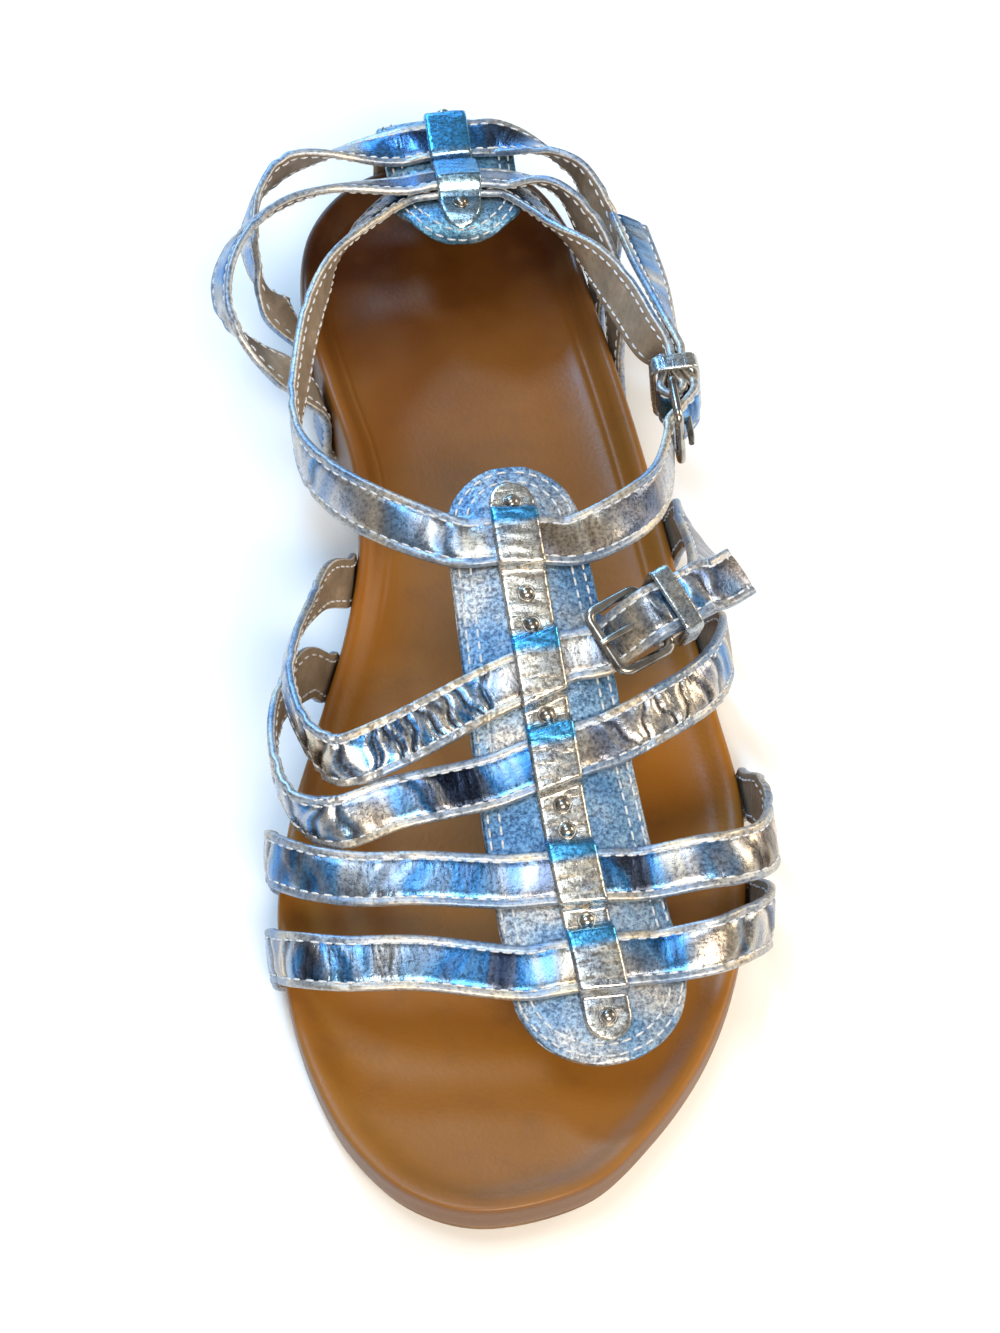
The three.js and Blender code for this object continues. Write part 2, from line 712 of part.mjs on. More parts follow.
// The hidden end of a strap, from under the footbed, round its lower edge and up its wall.
function rootRoute(side, { along, slant }) {
  const { p, out, forward } = edgeAt(side, along);
  const lean = Math.tan(degrees(slant));
  const off = WALL_GAP + STRAP_THICKNESS / 2;
  const climb = jointHeight(p.y + SLOPE_SPAN) - jointHeight(p.y - SLOPE_SPAN);
  const down = new THREE.Vector3(0, climb, -2 * SLOPE_SPAN).normalize();
  const bottom = (at) => jointHeight(at.y) + ROOT_GAP + STRAP_THICKNESS / 2;
  const node = (reach, rise, face) => {
    const drift = Math.max(0, rise - ROOT_STRAIGHT) * lean;
    const at = p.clone().addScaledVector(out, reach).addScaledVector(forward, drift);
    at.z = bottom(at) + rise;
    return { p: at, face };
  };
  const edgeRise = rimHeight(p.y) - jointHeight(p.y);
  return [
    node(-STRAP_TUCK, 0, down),
    node(-STRAP_TUCK / 2, 0, down),
    node(-ROOT_TURN, 0, down),
    node(off * ROOT_CORNER_REACH, ROOT_CORNER_RISE, out.clone().add(down)),
    node(off, ROOT_WALL_RISE, out),
    node(off + ROOT_FLARE, edgeRise * ROOT_TOP_SHARE, out),
  ];
}

// Places a table's rows and gives each its face.
function freeRoute(rows, core, before, after) {
  const points = rows.map(place);
  return points.map((p, i) => {
    const previous = points[i - 1] ?? before ?? p;
    const next = points[i + 1] ?? after ?? p;
    const { n, t } = oriented(p, next.clone().sub(previous), awayFrom(core, p));
    return { p, face: n.applyAxisAngle(t, degrees(rows[i].lean)) };
  });
}

// A panel: a middle line with a width and a crosswise bend, measured by its own length.
class Panel {
  constructor(route, widthAt, roundAt) {
    this.stations = stationsOf(route, PANEL_PER_SPAN);
    this.widthAt = widthAt;
    this.roundAt = roundAt;
    this.reach = [0];
    for (let i = 1; i < this.stations.length; i += 1) {
      this.reach.push(this.reach[i - 1] + this.stations[i].p.distanceTo(this.stations[i - 1].p));
    }
    this.length = this.reach[this.reach.length - 1];
  }

  at(share) {
    const want = THREE.MathUtils.clamp(share, 0, 1) * this.length;
    const found = this.reach.findIndex((l) => l >= want);
    const i = Math.max(1, found);
    const mix = (want - this.reach[i - 1]) / (this.reach[i] - this.reach[i - 1]);
    const a = this.stations[i - 1];
    const b = this.stations[i];
    const between = (key) => a[key].clone().lerp(b[key], mix);
    return oriented(between('p'), between('t'), between('n'));
  }

  // A place over the panel: across from the middle line, and out from its middle layer.
  over(share, across, out) {
    const { p, w, n } = this.at(share);
    const tip = across / this.roundAt(share);
    const face = n.clone().addScaledVector(w, tip).normalize();
    const surface = p.clone().addScaledVector(w, across).addScaledVector(n, (-across * tip) / 2);
    return { p: surface.addScaledVector(face, out), face };
  }

  body(roundStart) {
    const shares = this.shares(roundStart);
    const stations = shares.map((share) => this.at(share));
    return swept(stations, (_, i) => this.section(shares[i], this.halfAt(shares[i], roundStart)));
  }

  // Stations: close together in the round ends and where the line bends.
  shares(roundStart) {
    const rounds = (radius) => Array.from({ length: ROUND_STEPS }, (_, i) => {
      const angle = ((i + ROUND_START) / ROUND_STEPS) * (Math.PI / 2);
      return ((1 - Math.cos(angle)) * radius) / this.length;
    });
    const startRound = this.widthAt(0) / 2;
    const endRound = this.widthAt(1) / 2;
    const starts = roundStart ? rounds(startRound) : [0];
    const ends = rounds(endRound).map((v) => 1 - v).reverse();
    const low = (roundStart ? startRound : 0) / this.length;
    const high = 1 - endRound / this.length;
    const frames = Array.from({ length: PANEL_SAMPLES + 1 }, (_, i) => {
      const share = THREE.MathUtils.lerp(low, high, i / PANEL_SAMPLES);
      return { ...this.at(share), share };
    });
    const middle = thinned(frames).map((frame) => frame.share);
    return [...starts, ...middle.filter((share) => share > starts[starts.length - 1]), ...ends];
  }

  halfAt(share, roundStart) {
    const half = this.widthAt(share) / 2;
    const round = (distance, radius) => {
      const gone = Math.max(0, 1 - distance / radius);
      return Math.sqrt(Math.max(0, 1 - gone * gone));
    };
    const fromEnd = round((1 - share) * this.length, this.widthAt(1) / 2);
    const fromStart = roundStart ? round(share * this.length, this.widthAt(0) / 2) : 1;
    return half * Math.min(fromEnd, fromStart);
  }

  section(share, half) {
    const steps = [-1, -0.5, 0, 0.5, 1];
    const at = (k, out) => {
      const across = k * half;
      return [across, out - across ** 2 / (2 * this.roundAt(share))];
    };
    return [
      ...steps.map((k) => at(k, -PANEL_THICKNESS / 2)),
      ...[...steps].reverse().map((k) => at(k, PANEL_THICKNESS / 2)),
    ];
  }
}

const STRAP_OVER_PANEL = PANEL_THICKNESS / 2 + LAYER_GAP + STRAP_THICKNESS / 2;
const LAYER_STEP = STRAP_THICKNESS + LAYER_GAP;
const KEEPER_OVER_PANEL = PANEL_THICKNESS / 2 + JOINT_GAP + KEEPER_THICKNESS / 2;

// The stretch of a strap that lies over a panel. sign is 1 where the strap runs the way the
// panel's across direction points.
function crossingRoute(panel, { at, skew }, layer, sign) {
  const half = panel.widthAt(at) / 2 + CROSSING_OVERHANG;
  return [-1, -0.5, 0, 0.5, 1].map((k) => {
    const across = k * half * sign;
    const shift = (across * Math.tan(degrees(skew))) / panel.length;
    return panel.over(at + shift, across, STRAP_OVER_PANEL + layer * LAYER_STEP);
  });
}

// A keeper strip: it lies on the panel between the crossings and steps over the straps.
function keeperBody(panel, crossings, { from, to }, rivets) {
  const bumps = Object.values(crossings).map(({ at, skew, layers }) => {
    const halfStrap = STRAP_WIDTH / 2 / Math.cos(degrees(skew));
    return {
      at,
      half: (halfStrap + LAYER_GAP + BUMP_GAP * layers) / panel.length,
      shear: Math.tan(degrees(skew)),
      rise: layers * LAYER_STEP + LAYER_GAP - JOINT_GAP,
    };
  });
  const ramp = BUMP_RAMP / panel.length;
  const stops = [];
  for (const { at, half: reach, rise, shear } of bumps) {
    stops.push([at - reach - ramp, 0, shear], [at - reach, rise, shear], [at, rise, shear]);
    stops.push([at + reach, rise, shear], [at + reach + ramp, 0, shear]);
  }
  const radius = KEEPER_WIDTH / 2 / panel.length;
  for (const k of KEEPER_ROUNDING) {
    const share = radius * (1 - Math.cos((k * Math.PI) / 2));
    stops.push([from + share, 0, 0], [to - share, 0, 0]);
  }
  const clear = (share) => bumps.every(({ at, half }) => Math.abs(share - at) > half + ramp * 2);
  for (const share of panel.shares(false)) {
    if (share > from + radius && share < to - radius && clear(share)) stops.push([share, 0, 0]);
  }
  stops.sort((a, b) => a[0] - b[0]);
  const places = stops.map(([share, rise]) => panel.over(share, 0, KEEPER_OVER_PANEL + rise));
  const stations = places.map(({ p, face }, i) => {
    const before = places[Math.max(0, i - 1)].p;
    const after = places[Math.min(places.length - 1, i + 1)].p;
    const station = oriented(p, after.clone().sub(before), face);
    station.w.addScaledVector(station.t, stops[i][2]);
    return station;
  });
  const body = swept(stations, (_, i) => {
    const share = stops[i][0];
    const gone = Math.max(0, 1 - Math.min(share - from, to - share) / radius);
    const width = KEEPER_WIDTH * Math.sqrt(Math.max(0, 1 - gone * gone));
    return plainSection(width, KEEPER_THICKNESS);
  });
  return cut(body, rivets.map((share) => rivetHole(panel, share)));
}

// A body turned about its own Z axis, with its foot at a place and its top along face.
function standing(geometry, { p, face }) {
  const turn = new THREE.Quaternion().setFromUnitVectors(UP, face);
  return geometry.applyQuaternion(turn).translate(p.x, p.y, p.z);
}

// A turned body: its profile of [radius, height] pairs starts and ends on the axis.
function turned(profile) {
  const points = profile.map(([x, y]) => new THREE.Vector2(x, y));
  const lathe = new THREE.LatheGeometry(points, RIVET_SIDES).rotateX(Math.PI / 2);
  lathe.deleteAttribute('normal');
  lathe.deleteAttribute('uv');
  const merged = mergeVertices(lathe, 1e-4);
  const faces = [];
  for (let i = 0; i < merged.index.count; i += 3) {
    const [a, b, c] = [0, 1, 2].map((k) => merged.index.getX(i + k));
    if (a !== b && b !== c && a !== c) faces.push([a, b, c]);
  }
  const vertices = Array.from(
    { length: merged.attributes.position.count },
    (_, i) => new THREE.Vector3().fromBufferAttribute(merged.attributes.position, i),
  );
  return solid(vertices, faces);
}

const RIVET_SEAT = KEEPER_OVER_PANEL + KEEPER_THICKNESS / 2 + LAYER_GAP;
const RIVET_FOOT = -PANEL_THICKNESS / 2 - LAYER_GAP;

// A dome on top of the keeper, a shank through both layers and a flat tail under the panel.
function rivetBody(panel, share) {
  const profile = [
    [0, RIVET_FOOT - TAIL_THICKNESS],
    [TAIL_RADIUS, RIVET_FOOT - TAIL_THICKNESS],
    [TAIL_RADIUS, RIVET_FOOT],
    [SHANK_RADIUS, RIVET_FOOT],
    [SHANK_RADIUS, RIVET_SEAT],
    [RIVET_RADIUS, RIVET_SEAT],
    [RIVET_RADIUS * DOME_SHOULDER.radius, RIVET_SEAT + RIVET_HEIGHT * DOME_SHOULDER.height],
    [0, RIVET_SEAT + RIVET_HEIGHT],
  ];
  return standing(turned(profile), panel.over(share, 0, 0));
}

function rivetHole(panel, share) {
  const radius = SHANK_RADIUS + POCKET_GAP;
  const reach = RIVET_SEAT + PANEL_THICKNESS;
  const profile = [
    [0, -reach],
    [radius, -reach],
    [radius, reach],
    [0, reach],
  ];
  return standing(turned(profile), panel.over(share, 0, 0));
}

// A buckle's own axes at its place: travel towards the strap's tip, face out, and across.
function buckleFrame({ across, along, up, heading, rise, lean }, core) {
  const p = place({ across, along, up });
  const flat = Math.cos(degrees(rise));
  const travel = new THREE.Vector3(
    Math.cos(degrees(heading)) * flat,
    Math.sin(degrees(heading)) * flat,
    Math.sin(degrees(rise)),
  );
  const made = oriented(p, travel, awayFrom(core, p));
  made.n.applyAxisAngle(made.t, degrees(lean));
  made.w = made.t.clone().cross(made.n);
  return made;
}

function inBuckle(frame, along, out) {
  const p = frame.p.clone().addScaledVector(frame.t, along).addScaledVector(frame.n, out);
  return { p, face: frame.n.clone() };
}

const BAR = FRAME_LENGTH / 2 - WIRE / 2;
const FOLD_RADIUS = WIRE / 2 + LAYER_GAP + STRAP_THICKNESS / 2;
const FOLD_LAYER = STRAP_THICKNESS / 2 + LAYER_GAP / 2;
const PASS_OUT = { under: -FOLD_RADIUS, over: FOLD_RADIUS + STRAP_THICKNESS + LAYER_GAP };
const PASS_FLAT = FOLD_LAYER + STRAP_THICKNESS + LAYER_GAP;
const LOOP_RUN = [LOOP_PLACE, LOOP_PLACE + LOOP_WIDTH, LOOP_PLACE + LOOP_WIDTH + LOOP_MARGIN];

// The long strap dips under the front bar and rises over the heel bar and the fold round it.
function throughBuckle(frame) {
  const pass = BUCKLE_PASS.map(({ bar, run, layer, out }) => (
    inBuckle(frame, bar * BAR + run * WIRE, out * PASS_OUT[layer])
  ));
  return [...pass, ...LOOP_RUN.map((along) => inBuckle(frame, along, PASS_FLAT))];
}

// The buckle strap's end: a short return under it, the fold round the heel bar, and its start.
function foldRoute(frame) {
  const around = FOLD_ANGLES.map(degrees).map((angle) => {
    const face = frame.n.clone().multiplyScalar(Math.sin(angle));
    face.addScaledVector(frame.t, -Math.cos(angle));
    return { p: inBuckle(frame, BAR, 0).p.addScaledVector(face, FOLD_RADIUS), face };
  });
  const layer = (along, sign) => {
    const { p, face } = inBuckle(frame, along, FOLD_LAYER * sign);
    return { p, face: face.multiplyScalar(sign) };
  };
  return [
    layer(BAR + FOLD_RETURN, -1),
    layer(BAR + FOLD_RETURN / 2, -1),
    ...around,
    ...LOOP_RUN.map((along) => layer(along, 1)),
  ];
}

// Puts a shape drawn in a buckle's own axes (across, travel, out) in its place.
function seated(geometry, { p, t, n, w }) {
  return geometry.applyMatrix4(new THREE.Matrix4().makeBasis(w, t, n).setPosition(p));
}

function roundedRectangle(target, width, length, radius) {
  const x = width / 2;
  const y = length / 2;
  target.moveTo(-x + radius, -y);
  target.lineTo(x - radius, -y);
  target.absarc(x - radius, -y + radius, radius, -Math.PI / 2, 0);
  target.lineTo(x, y - radius);
  target.absarc(x - radius, y - radius, radius, 0, Math.PI / 2);
  target.lineTo(-x + radius, y);
  target.absarc(-x + radius, y - radius, radius, Math.PI / 2, Math.PI);
  target.lineTo(-x, -y + radius);
  target.absarc(-x + radius, -y + radius, radius, Math.PI, Math.PI * 1.5);
  return target;
}

function ring(width, length, wall, depth, radius) {
  const shape = roundedRectangle(new THREE.Shape(), width, length, radius);
  const inside = [width - wall * 2, length - wall * 2, radius - wall];
  shape.holes.push(roundedRectangle(new THREE.Path(), ...inside));
  const finish = { depth, bevelEnabled: false, curveSegments: CORNER_STEPS };
  return new THREE.ExtrudeGeometry(shape, finish);
}

function buckleBody(frame) {
  const width = STRAP_WIDTH + (FRAME_SIDE_GAP + WIRE) * 2;
  const body = ring(width, FRAME_LENGTH, WIRE, WIRE, FRAME_CORNER);
  return seated(body.translate(0, 0, -WIRE / 2), frame);
}

// The prong hooks round the heel bar and lies over the front bar.
function prongBody(frame, swell) {
  const hook = WIRE / 2 + PRONG_RADIUS + JOINT_GAP;
  const points = PRONG_LINE.map(({ bar, run, out }) => (
    inBuckle(frame, bar * BAR + run * hook, out * hook).p
  ));
  const curve = new THREE.CatmullRomCurve3(points);
  const stations = Array.from({ length: PRONG_STEPS + 1 }, (_, i) => {
    const t = i / PRONG_STEPS;
    return oriented(curve.getPoint(t), curve.getTangent(t), frame.w);
  });
  const radius = PRONG_RADIUS + swell;
  const section = Array.from({ length: PRONG_SIDES }, (_, i) => {
    const angle = (i / PRONG_SIDES) * Math.PI * 2;
    return [Math.cos(angle) * radius, Math.sin(angle) * radius];
  });
  return swept(stations, () => section);
}

function loopBody(frame) {
  const low = -(FOLD_LAYER + STRAP_THICKNESS / 2 + LOOP_GAP);
  const high = PASS_FLAT + STRAP_THICKNESS / 2 + LOOP_GAP;
  const width = STRAP_WIDTH + (LOOP_GAP + LOOP_THICKNESS) * 2;
  const height = high - low + LOOP_THICKNESS * 2;
  const band = ring(width, height, LOOP_THICKNESS, LOOP_WIDTH, LOOP_CORNER);
  band.rotateX(-Math.PI / 2).rotateZ(Math.PI);
  band.translate(0, LOOP_PLACE + LOOP_WIDTH / 2, (low + high) / 2);
  return seated(band, frame);
}

// The parts of the upper
const panelRoute = PANEL_LINE.map(place).map((p, i, all) => {
  const travel = (all[i + 1] ?? p).clone().sub(all[i - 1] ?? p);
  return { p, face: oriented(p, travel, UP).n };
});
const panel = new Panel(
  panelRoute,
  (share) => THREE.MathUtils.lerp(PANEL_TOP_WIDTH, PANEL_TOE_WIDTH, share),
  () => PANEL_ROUND,
);

function stayRoute() {
  const off = WALL_GAP + PANEL_THICKNESS / 2;
  const bottom = jointHeight(HEEL_BACK) + ROOT_GAP + PANEL_THICKNESS / 2;
  const down = new THREE.Vector3(0, 0, -1);
  const out = new THREE.Vector3(0, 1, 0);
  const node = (reach, z, face) => ({ p: new THREE.Vector3(0, HEEL_BACK + reach, z), face });
  const root = [
    node(-STRAP_TUCK, bottom, down),
    node(-ROOT_TURN, bottom, down),
    node(off * ROOT_CORNER_REACH, bottom + ROOT_CORNER_RISE, out.clone().add(down)),
    node(off, bottom + ROOT_WALL_RISE, out),
    node(off, rimHeight(HEEL_BACK) - STAY_WALL_STOP, out),
  ];
  const points = STAY_LINE.map(place);
  const free = points.map((p, i) => {
    const travel = (points[i + 1] ?? p).clone().sub(points[i - 1] ?? root[root.length - 1].p);
    return { p, face: new THREE.Vector3(0, travel.z, -travel.y).normalize() };
  });
  return [...root, ...free];
}

function stayRoundAt(share) {
  const flat = THREE.MathUtils.smoothstep(share, STAY_FLATTENS.from, STAY_FLATTENS.to);
  return 1 / THREE.MathUtils.lerp(1 / STAY_BASE_ROUND, 1 / STAY_TOP_ROUND, flat);
}

const stay = new Panel(
  stayRoute(),
  (share) => THREE.MathUtils.lerp(STAY_BASE_WIDTH, STAY_TOP_WIDTH, share),
  stayRoundAt,
);

// A strap's stations, and those of its hidden ends.
function strapOf(route, startCount, endCount) {
  const places = stationsOf(route);
  const stations = thinned(places);
  const startEnd = places[Math.max(0, startCount - 1) * PER_SPAN];
  const endStart = places[places.length - 1 - Math.max(0, endCount - 1) * PER_SPAN];
  const roots = [];
  if (startCount) roots.push(stations.slice(0, closest(stations, startEnd) + 1));
  if (endCount) roots.push(stations.slice(closest(stations, endStart)));
  return { stations, roots };
}

function closest(stations, { p }) {
  const gaps = stations.map((station) => station.p.distanceTo(p));
  return gaps.indexOf(Math.min(...gaps));
}

// A strap that runs from the inner edge of the sole over a panel to the outer edge.
function wholeStrap(table, over, crossing, layer, sign, core) {
  const inner = rootRoute('inner', table.inner);
  const outer = rootRoute('outer', table.outer).reverse();
  const middle = crossingRoute(over, crossing, layer, sign);
  const first = freeRoute(table.rising, core, inner[inner.length - 1].p, middle[0].p);
  const last = freeRoute(table.falling, core, middle[middle.length - 1].p, outer[0].p);
  return strapOf([...inner, ...first, ...middle, ...last, ...outer], inner.length, outer.length);
}

const toe = wholeStrap(TOE_STRAP, panel, PANEL_CROSSINGS.toe, 0, -1, FOOT_CORE);
const ball = wholeStrap(BALL_STRAP, panel, PANEL_CROSSINGS.ball, 0, -1, FOOT_CORE);
const vamp = wholeStrap(VAMP_STRAP, panel, PANEL_CROSSINGS.vamp, 0, -1, FOOT_CORE);
const lowHeel = wholeStrap(LOW_HEEL_STRAP, stay, STAY_CROSSINGS.low, 0, -1, ANKLE_CORE);
const highHeel = wholeStrap(HIGH_HEEL_STRAP, stay, STAY_CROSSINGS.high, 1, -1, ANKLE_CORE);

const instepBuckle = buckleFrame(INSTEP_STRAP.buckle, FOOT_CORE);
const ankleBuckle = buckleFrame(ANKLE_STRAP.buckle, ANKLE_CORE);

function instepStrap() {
  const inner = rootRoute('inner', INSTEP_STRAP.inner);
  const middle = crossingRoute(panel, PANEL_CROSSINGS.instep, 0, -1).slice(0, 4);
  const before = inner[inner.length - 1].p;
  const first = freeRoute(INSTEP_STRAP.rising, FOOT_CORE, before, middle[0].p);
  const pass = throughBuckle(instepBuckle);
  const tail = freeRoute(INSTEP_STRAP.tail, FOOT_CORE, pass[pass.length - 1].p);
  return strapOf([...inner, ...first, ...middle, ...pass, ...tail], inner.length, 0);
}

function instepBuckleStrap() {
  const outer = rootRoute('outer', INSTEP_BUCKLE_STRAP.outer).reverse();
  const fold = foldRoute(instepBuckle);
  const before = fold[fold.length - 1].p;
  const free = freeRoute(INSTEP_BUCKLE_STRAP.falling, FOOT_CORE, before, outer[0].p);
  return strapOf([...fold, ...free, ...outer], 0, outer.length);
}

function ankleStrap() {
  const fold = foldRoute(ankleBuckle);
  const behind = crossingRoute(stay, STAY_CROSSINGS.high, 0, 1);
  const front = crossingRoute(panel, PANEL_CROSSINGS.ankle, 0, -1);
  const pass = throughBuckle(ankleBuckle);
  const faced = (rows, before, after) => freeRoute(rows, ANKLE_CORE, before.p, after?.p);
  const route = [
    ...fold,
    ...faced(ANKLE_STRAP.fromBuckle, fold[fold.length - 1], behind[0]),
    ...behind,
    ...faced(ANKLE_STRAP.toFront, behind[behind.length - 1], front[0]),
    ...front,
    ...faced(ANKLE_STRAP.toBuckle, front[front.length - 1], pass[0]),
    ...pass,
    ...faced(ANKLE_STRAP.tail, pass[pass.length - 1]),
  ];
  return strapOf(route, 0, 0);
}

const instep = instepStrap();
const instepHold = instepBuckleStrap();
const ankle = ankleStrap();

// Room in the footbed for the hidden end of a strap that starts or ends there.
function pocket(stations) {
  const half = STRAP_WIDTH / 2 + POCKET_GAP;
  const back = -STRAP_THICKNESS / 2 - POCKET_GAP;
  const front = STRAP_THICKNESS / 2 + POCKET_OPEN;
  const section = [[-half, back], [half, back], [half, front], [-half, front]];
  return swept(stations, () => section);
}

function stayPocket() {
  const shares = stay.shares(false).filter((share) => share < STAY_POCKET_END);
  const stations = shares.map((share) => stay.at(share));
  return swept(stations, (_, i) => {
    const section = stay.section(shares[i], stay.widthAt(shares[i]) / 2 + POCKET_GAP);
    const open = (k) => (k < section.length / 2 ? -POCKET_GAP : POCKET_OPEN);
    return section.map(([across, out], k) => [across, out + open(k)]);
  });
}

function footbedBody() {
  const rings = FOOTBED_RINGS.map(({ inset, level }) => (
    edgeRing(inset, (y) => levelHeight(y, level))
  ));
  const rooted = [toe, ball, vamp, instep, instepHold, lowHeel, highHeel];
  const pockets = rooted.flatMap(({ roots }) => roots.map(pocket));
  return cut(lofted(rings), [...pockets, stayPocket()]);
}

function outsoleBody() {
  const foot = OUTSOLE_INSET + OUTSOLE_BEVEL;
  return lofted([
    edgeRing(foot + OUTSOLE_LAP, undersideHeight),
    edgeRing(foot, undersideHeight),
    edgeRing(OUTSOLE_INSET, (y) => undersideHeight(y) + OUTSOLE_BEVEL),
    edgeRing(OUTSOLE_INSET, jointHeight),
    edgeRing(OUTSOLE_INSET + OUTSOLE_LAP, jointHeight),
  ]);
}

const sandal = new THREE.Group();

function add(name, geometry, finish) {
  const mesh = new THREE.Mesh(geometry, new THREE.MeshStandardMaterial(finish));
  mesh.name = name;
  sandal.add(mesh);
}

function panelWithHoles(made, roundStart, rivets) {
  return cut(made.body(roundStart), rivets.map((share) => rivetHole(made, share)));
}

add('outsole', outsoleBody(), rubber);
add('footbed', footbedBody(), tan);
add('instep_panel', panelWithHoles(panel, true, PANEL_RIVETS), silver);
add('instep_keeper', keeperBody(panel, PANEL_CROSSINGS, PANEL_KEEPER, PANEL_RIVETS), silver);
add('heel_stay', panelWithHoles(stay, false, STAY_RIVETS), silver);
add('heel_keeper', keeperBody(stay, STAY_CROSSINGS, STAY_KEEPER, STAY_RIVETS), silver);
PANEL_RIVETS.forEach((share, i) => add(`instep_rivet_${i + 1}`, rivetBody(panel, share), nickel));
STAY_RIVETS.forEach((share, i) => add(`heel_rivet_${i + 1}`, rivetBody(stay, share), nickel));

const straps = { toe, ball, vamp, low_heel: lowHeel, high_heel: highHeel };
for (const [name, made] of Object.entries(straps)) add(`${name}_strap`, strapBody(made), silver);
for (const [name, made, hold, frame] of [
  ['instep', instep, instepHold, instepBuckle],
  ['ankle', ankle, null, ankleBuckle],
]) {
  const opening = [prongBody(frame, POCKET_GAP)];
  add(`${name}_strap`, cut(strapBody(made), opening), silver);
  if (hold) add(`${name}_buckle_strap`, cut(strapBody(hold), opening), silver);
  add(`${name}_buckle`, buckleBody(frame), nickel);
  add(`${name}_prong`, prongBody(frame, 0), nickel);
  add(`${name}_loop`, loopBody(frame), silver);
}

export default sandal;
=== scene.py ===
# A silver gladiator sandal for the left foot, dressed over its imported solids. Lengths are
# millimetres in the row's frame until a mesh is made; materials, lights and UVs use metres.

import math

import bpy
import numpy as np
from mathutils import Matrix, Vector


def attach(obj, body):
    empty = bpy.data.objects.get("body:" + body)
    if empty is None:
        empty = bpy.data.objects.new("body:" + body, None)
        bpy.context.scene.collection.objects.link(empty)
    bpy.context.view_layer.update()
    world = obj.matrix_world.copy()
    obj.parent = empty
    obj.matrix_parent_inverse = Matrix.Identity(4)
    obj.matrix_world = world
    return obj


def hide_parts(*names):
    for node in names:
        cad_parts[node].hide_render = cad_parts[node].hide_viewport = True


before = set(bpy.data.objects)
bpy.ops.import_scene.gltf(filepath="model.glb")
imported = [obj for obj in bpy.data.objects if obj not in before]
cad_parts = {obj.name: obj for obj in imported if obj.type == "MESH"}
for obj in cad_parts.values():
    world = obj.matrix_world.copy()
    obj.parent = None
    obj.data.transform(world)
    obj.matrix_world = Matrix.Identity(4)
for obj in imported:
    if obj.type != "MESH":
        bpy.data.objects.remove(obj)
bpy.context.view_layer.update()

MM = 0.001

# Sole and footbed
SOLE_LENGTH = 246.0
BALL_WIDTH = 89.5
HEEL_BACK = 30.0
OUTSOLE_THICKNESS = 3.0
OUTSOLE_INSET = 1.0
BALL_BED_HEIGHT = 8.5
HEEL_BED_HEIGHT = 17.0
RIM_RISE = 6.0
TOE_SPRING = 3.5
ARCH_LIFT = 4.0
OUTLINE_STEPS = 150

# Straps and panels
STRAP_WIDTH = 10.0
STRAP_THICKNESS = 1.6
STRAP_TUCK = 9.0
ROOT_STRAIGHT = 3.0
ROOT_START = 0.8
ROOT_BEND = (0.72, 0.75)
ROOT_RISE = 2.6
INSTEP_HEIGHT = 50.0
WALL_GAP = 0.6
LAYER_GAP = 0.45
JOINT_GAP = 0.3
ROOT_GAP = 0.45
BED_GAP = 0.05
CROSSING_MARGIN = 1.5
CROSSING_NODES = (-0.7, -0.35, 0, 0.35, 0.7)
PANEL_THICKNESS = 1.8
PANEL_TOP_WIDTH = 25.0
PANEL_TOE_WIDTH = 33.0
STAY_BASE_WIDTH = 31.0
STAY_TOP_WIDTH = 26.0
KEEPER_WIDTH = 8.5
KEEPER_THICKNESS = 1.3
KEEPER_FOOT = {"behind": 1.9, "ahead": 1.1}
STEP = 0.6
PANEL_STEP = 0.4
PANEL_ROW_STEP = 1.2
KEEPER_STEP = 0.45

# Softness of the leather: ripples, grooves, puffs and creases
STRAP_RIPPLE = 0.02
UNDER_SHARE = 0.6
CREASE_SWAY = 0.5
CREASE_BANK = (0.55, 1.6)
PANEL_EDGE = 0.8
PANEL_GROOVE = (0.16, 0.45)
PANEL_PUFF = 0.12
PANEL_RIPPLE = 0.06
KEEPER_EDGE = 0.55
KEEPER_DIMPLE = 0.22
KEEPER_WRINKLE = 0.07

# Hardware
RIVET_RADIUS = 1.75
RIVET_HEIGHT = 1.1
WIRE = 2.0
FRAME_LENGTH = 13.0
FRAME_SIDE_GAP = 0.6
FOLD_RETURN = 8.0
PRONG_RADIUS = 0.85
FRAME_CORNER = 1.9
LOOP_CORNER = 1.6
LOOP_WIDTH = 4.0
LOOP_THICKNESS = 1.0
LOOP_GAP = 1.0
LOOP_PLACE = 9.4
LOOP_RUN = [LOOP_PLACE, LOOP_PLACE + LOOP_WIDTH, LOOP_PLACE + LOOP_WIDTH + 3.0]

# Stitching
STITCH_PITCH = 2.5
STITCH_LENGTH = 1.8
STITCH_RADIUS = 0.23
STITCH_INSET = 1.55
STITCH_SEAT = 0.72
STITCH_SIDES = 6
STITCH_MARGIN = 6.0
TAIL_MARGIN = 1.5
TAIL_STITCH = {"length": 1.2, "pitch": 1.7}
# (share of the length, share of the radius, rise) along one stitch
STITCH_FORM = [(-0.5, 0.45, -0.12), (-0.36, 0.9, 0.04), (0, 1, 0.1), (0.36, 0.9, 0.04),
               (0.5, 0.45, -0.12)]
PANEL_STITCH_ROWS = (1.5, 3.6)
STAY_STITCH_ROWS = (1.5, 3.4)

# Half widths of the sole as shares of the ball width: (along, inner, outer), heel to toe.
SOLE_SIDES = [
    (0.025, 0.215, 0.205), (0.08, 0.325, 0.3), (0.16, 0.348, 0.345), (0.257, 0.295, 0.397),
    (0.336, 0.24, 0.438), (0.415, 0.226, 0.475), (0.494, 0.262, 0.512), (0.573, 0.325, 0.552),
    (0.652, 0.385, 0.585), (0.741, 0.416, 0.575), (0.81, 0.397, 0.535), (0.88, 0.348, 0.452),
    (0.94, 0.27, 0.332), (0.982, 0.16, 0.205),
]
TOE_ACROSS = -0.015

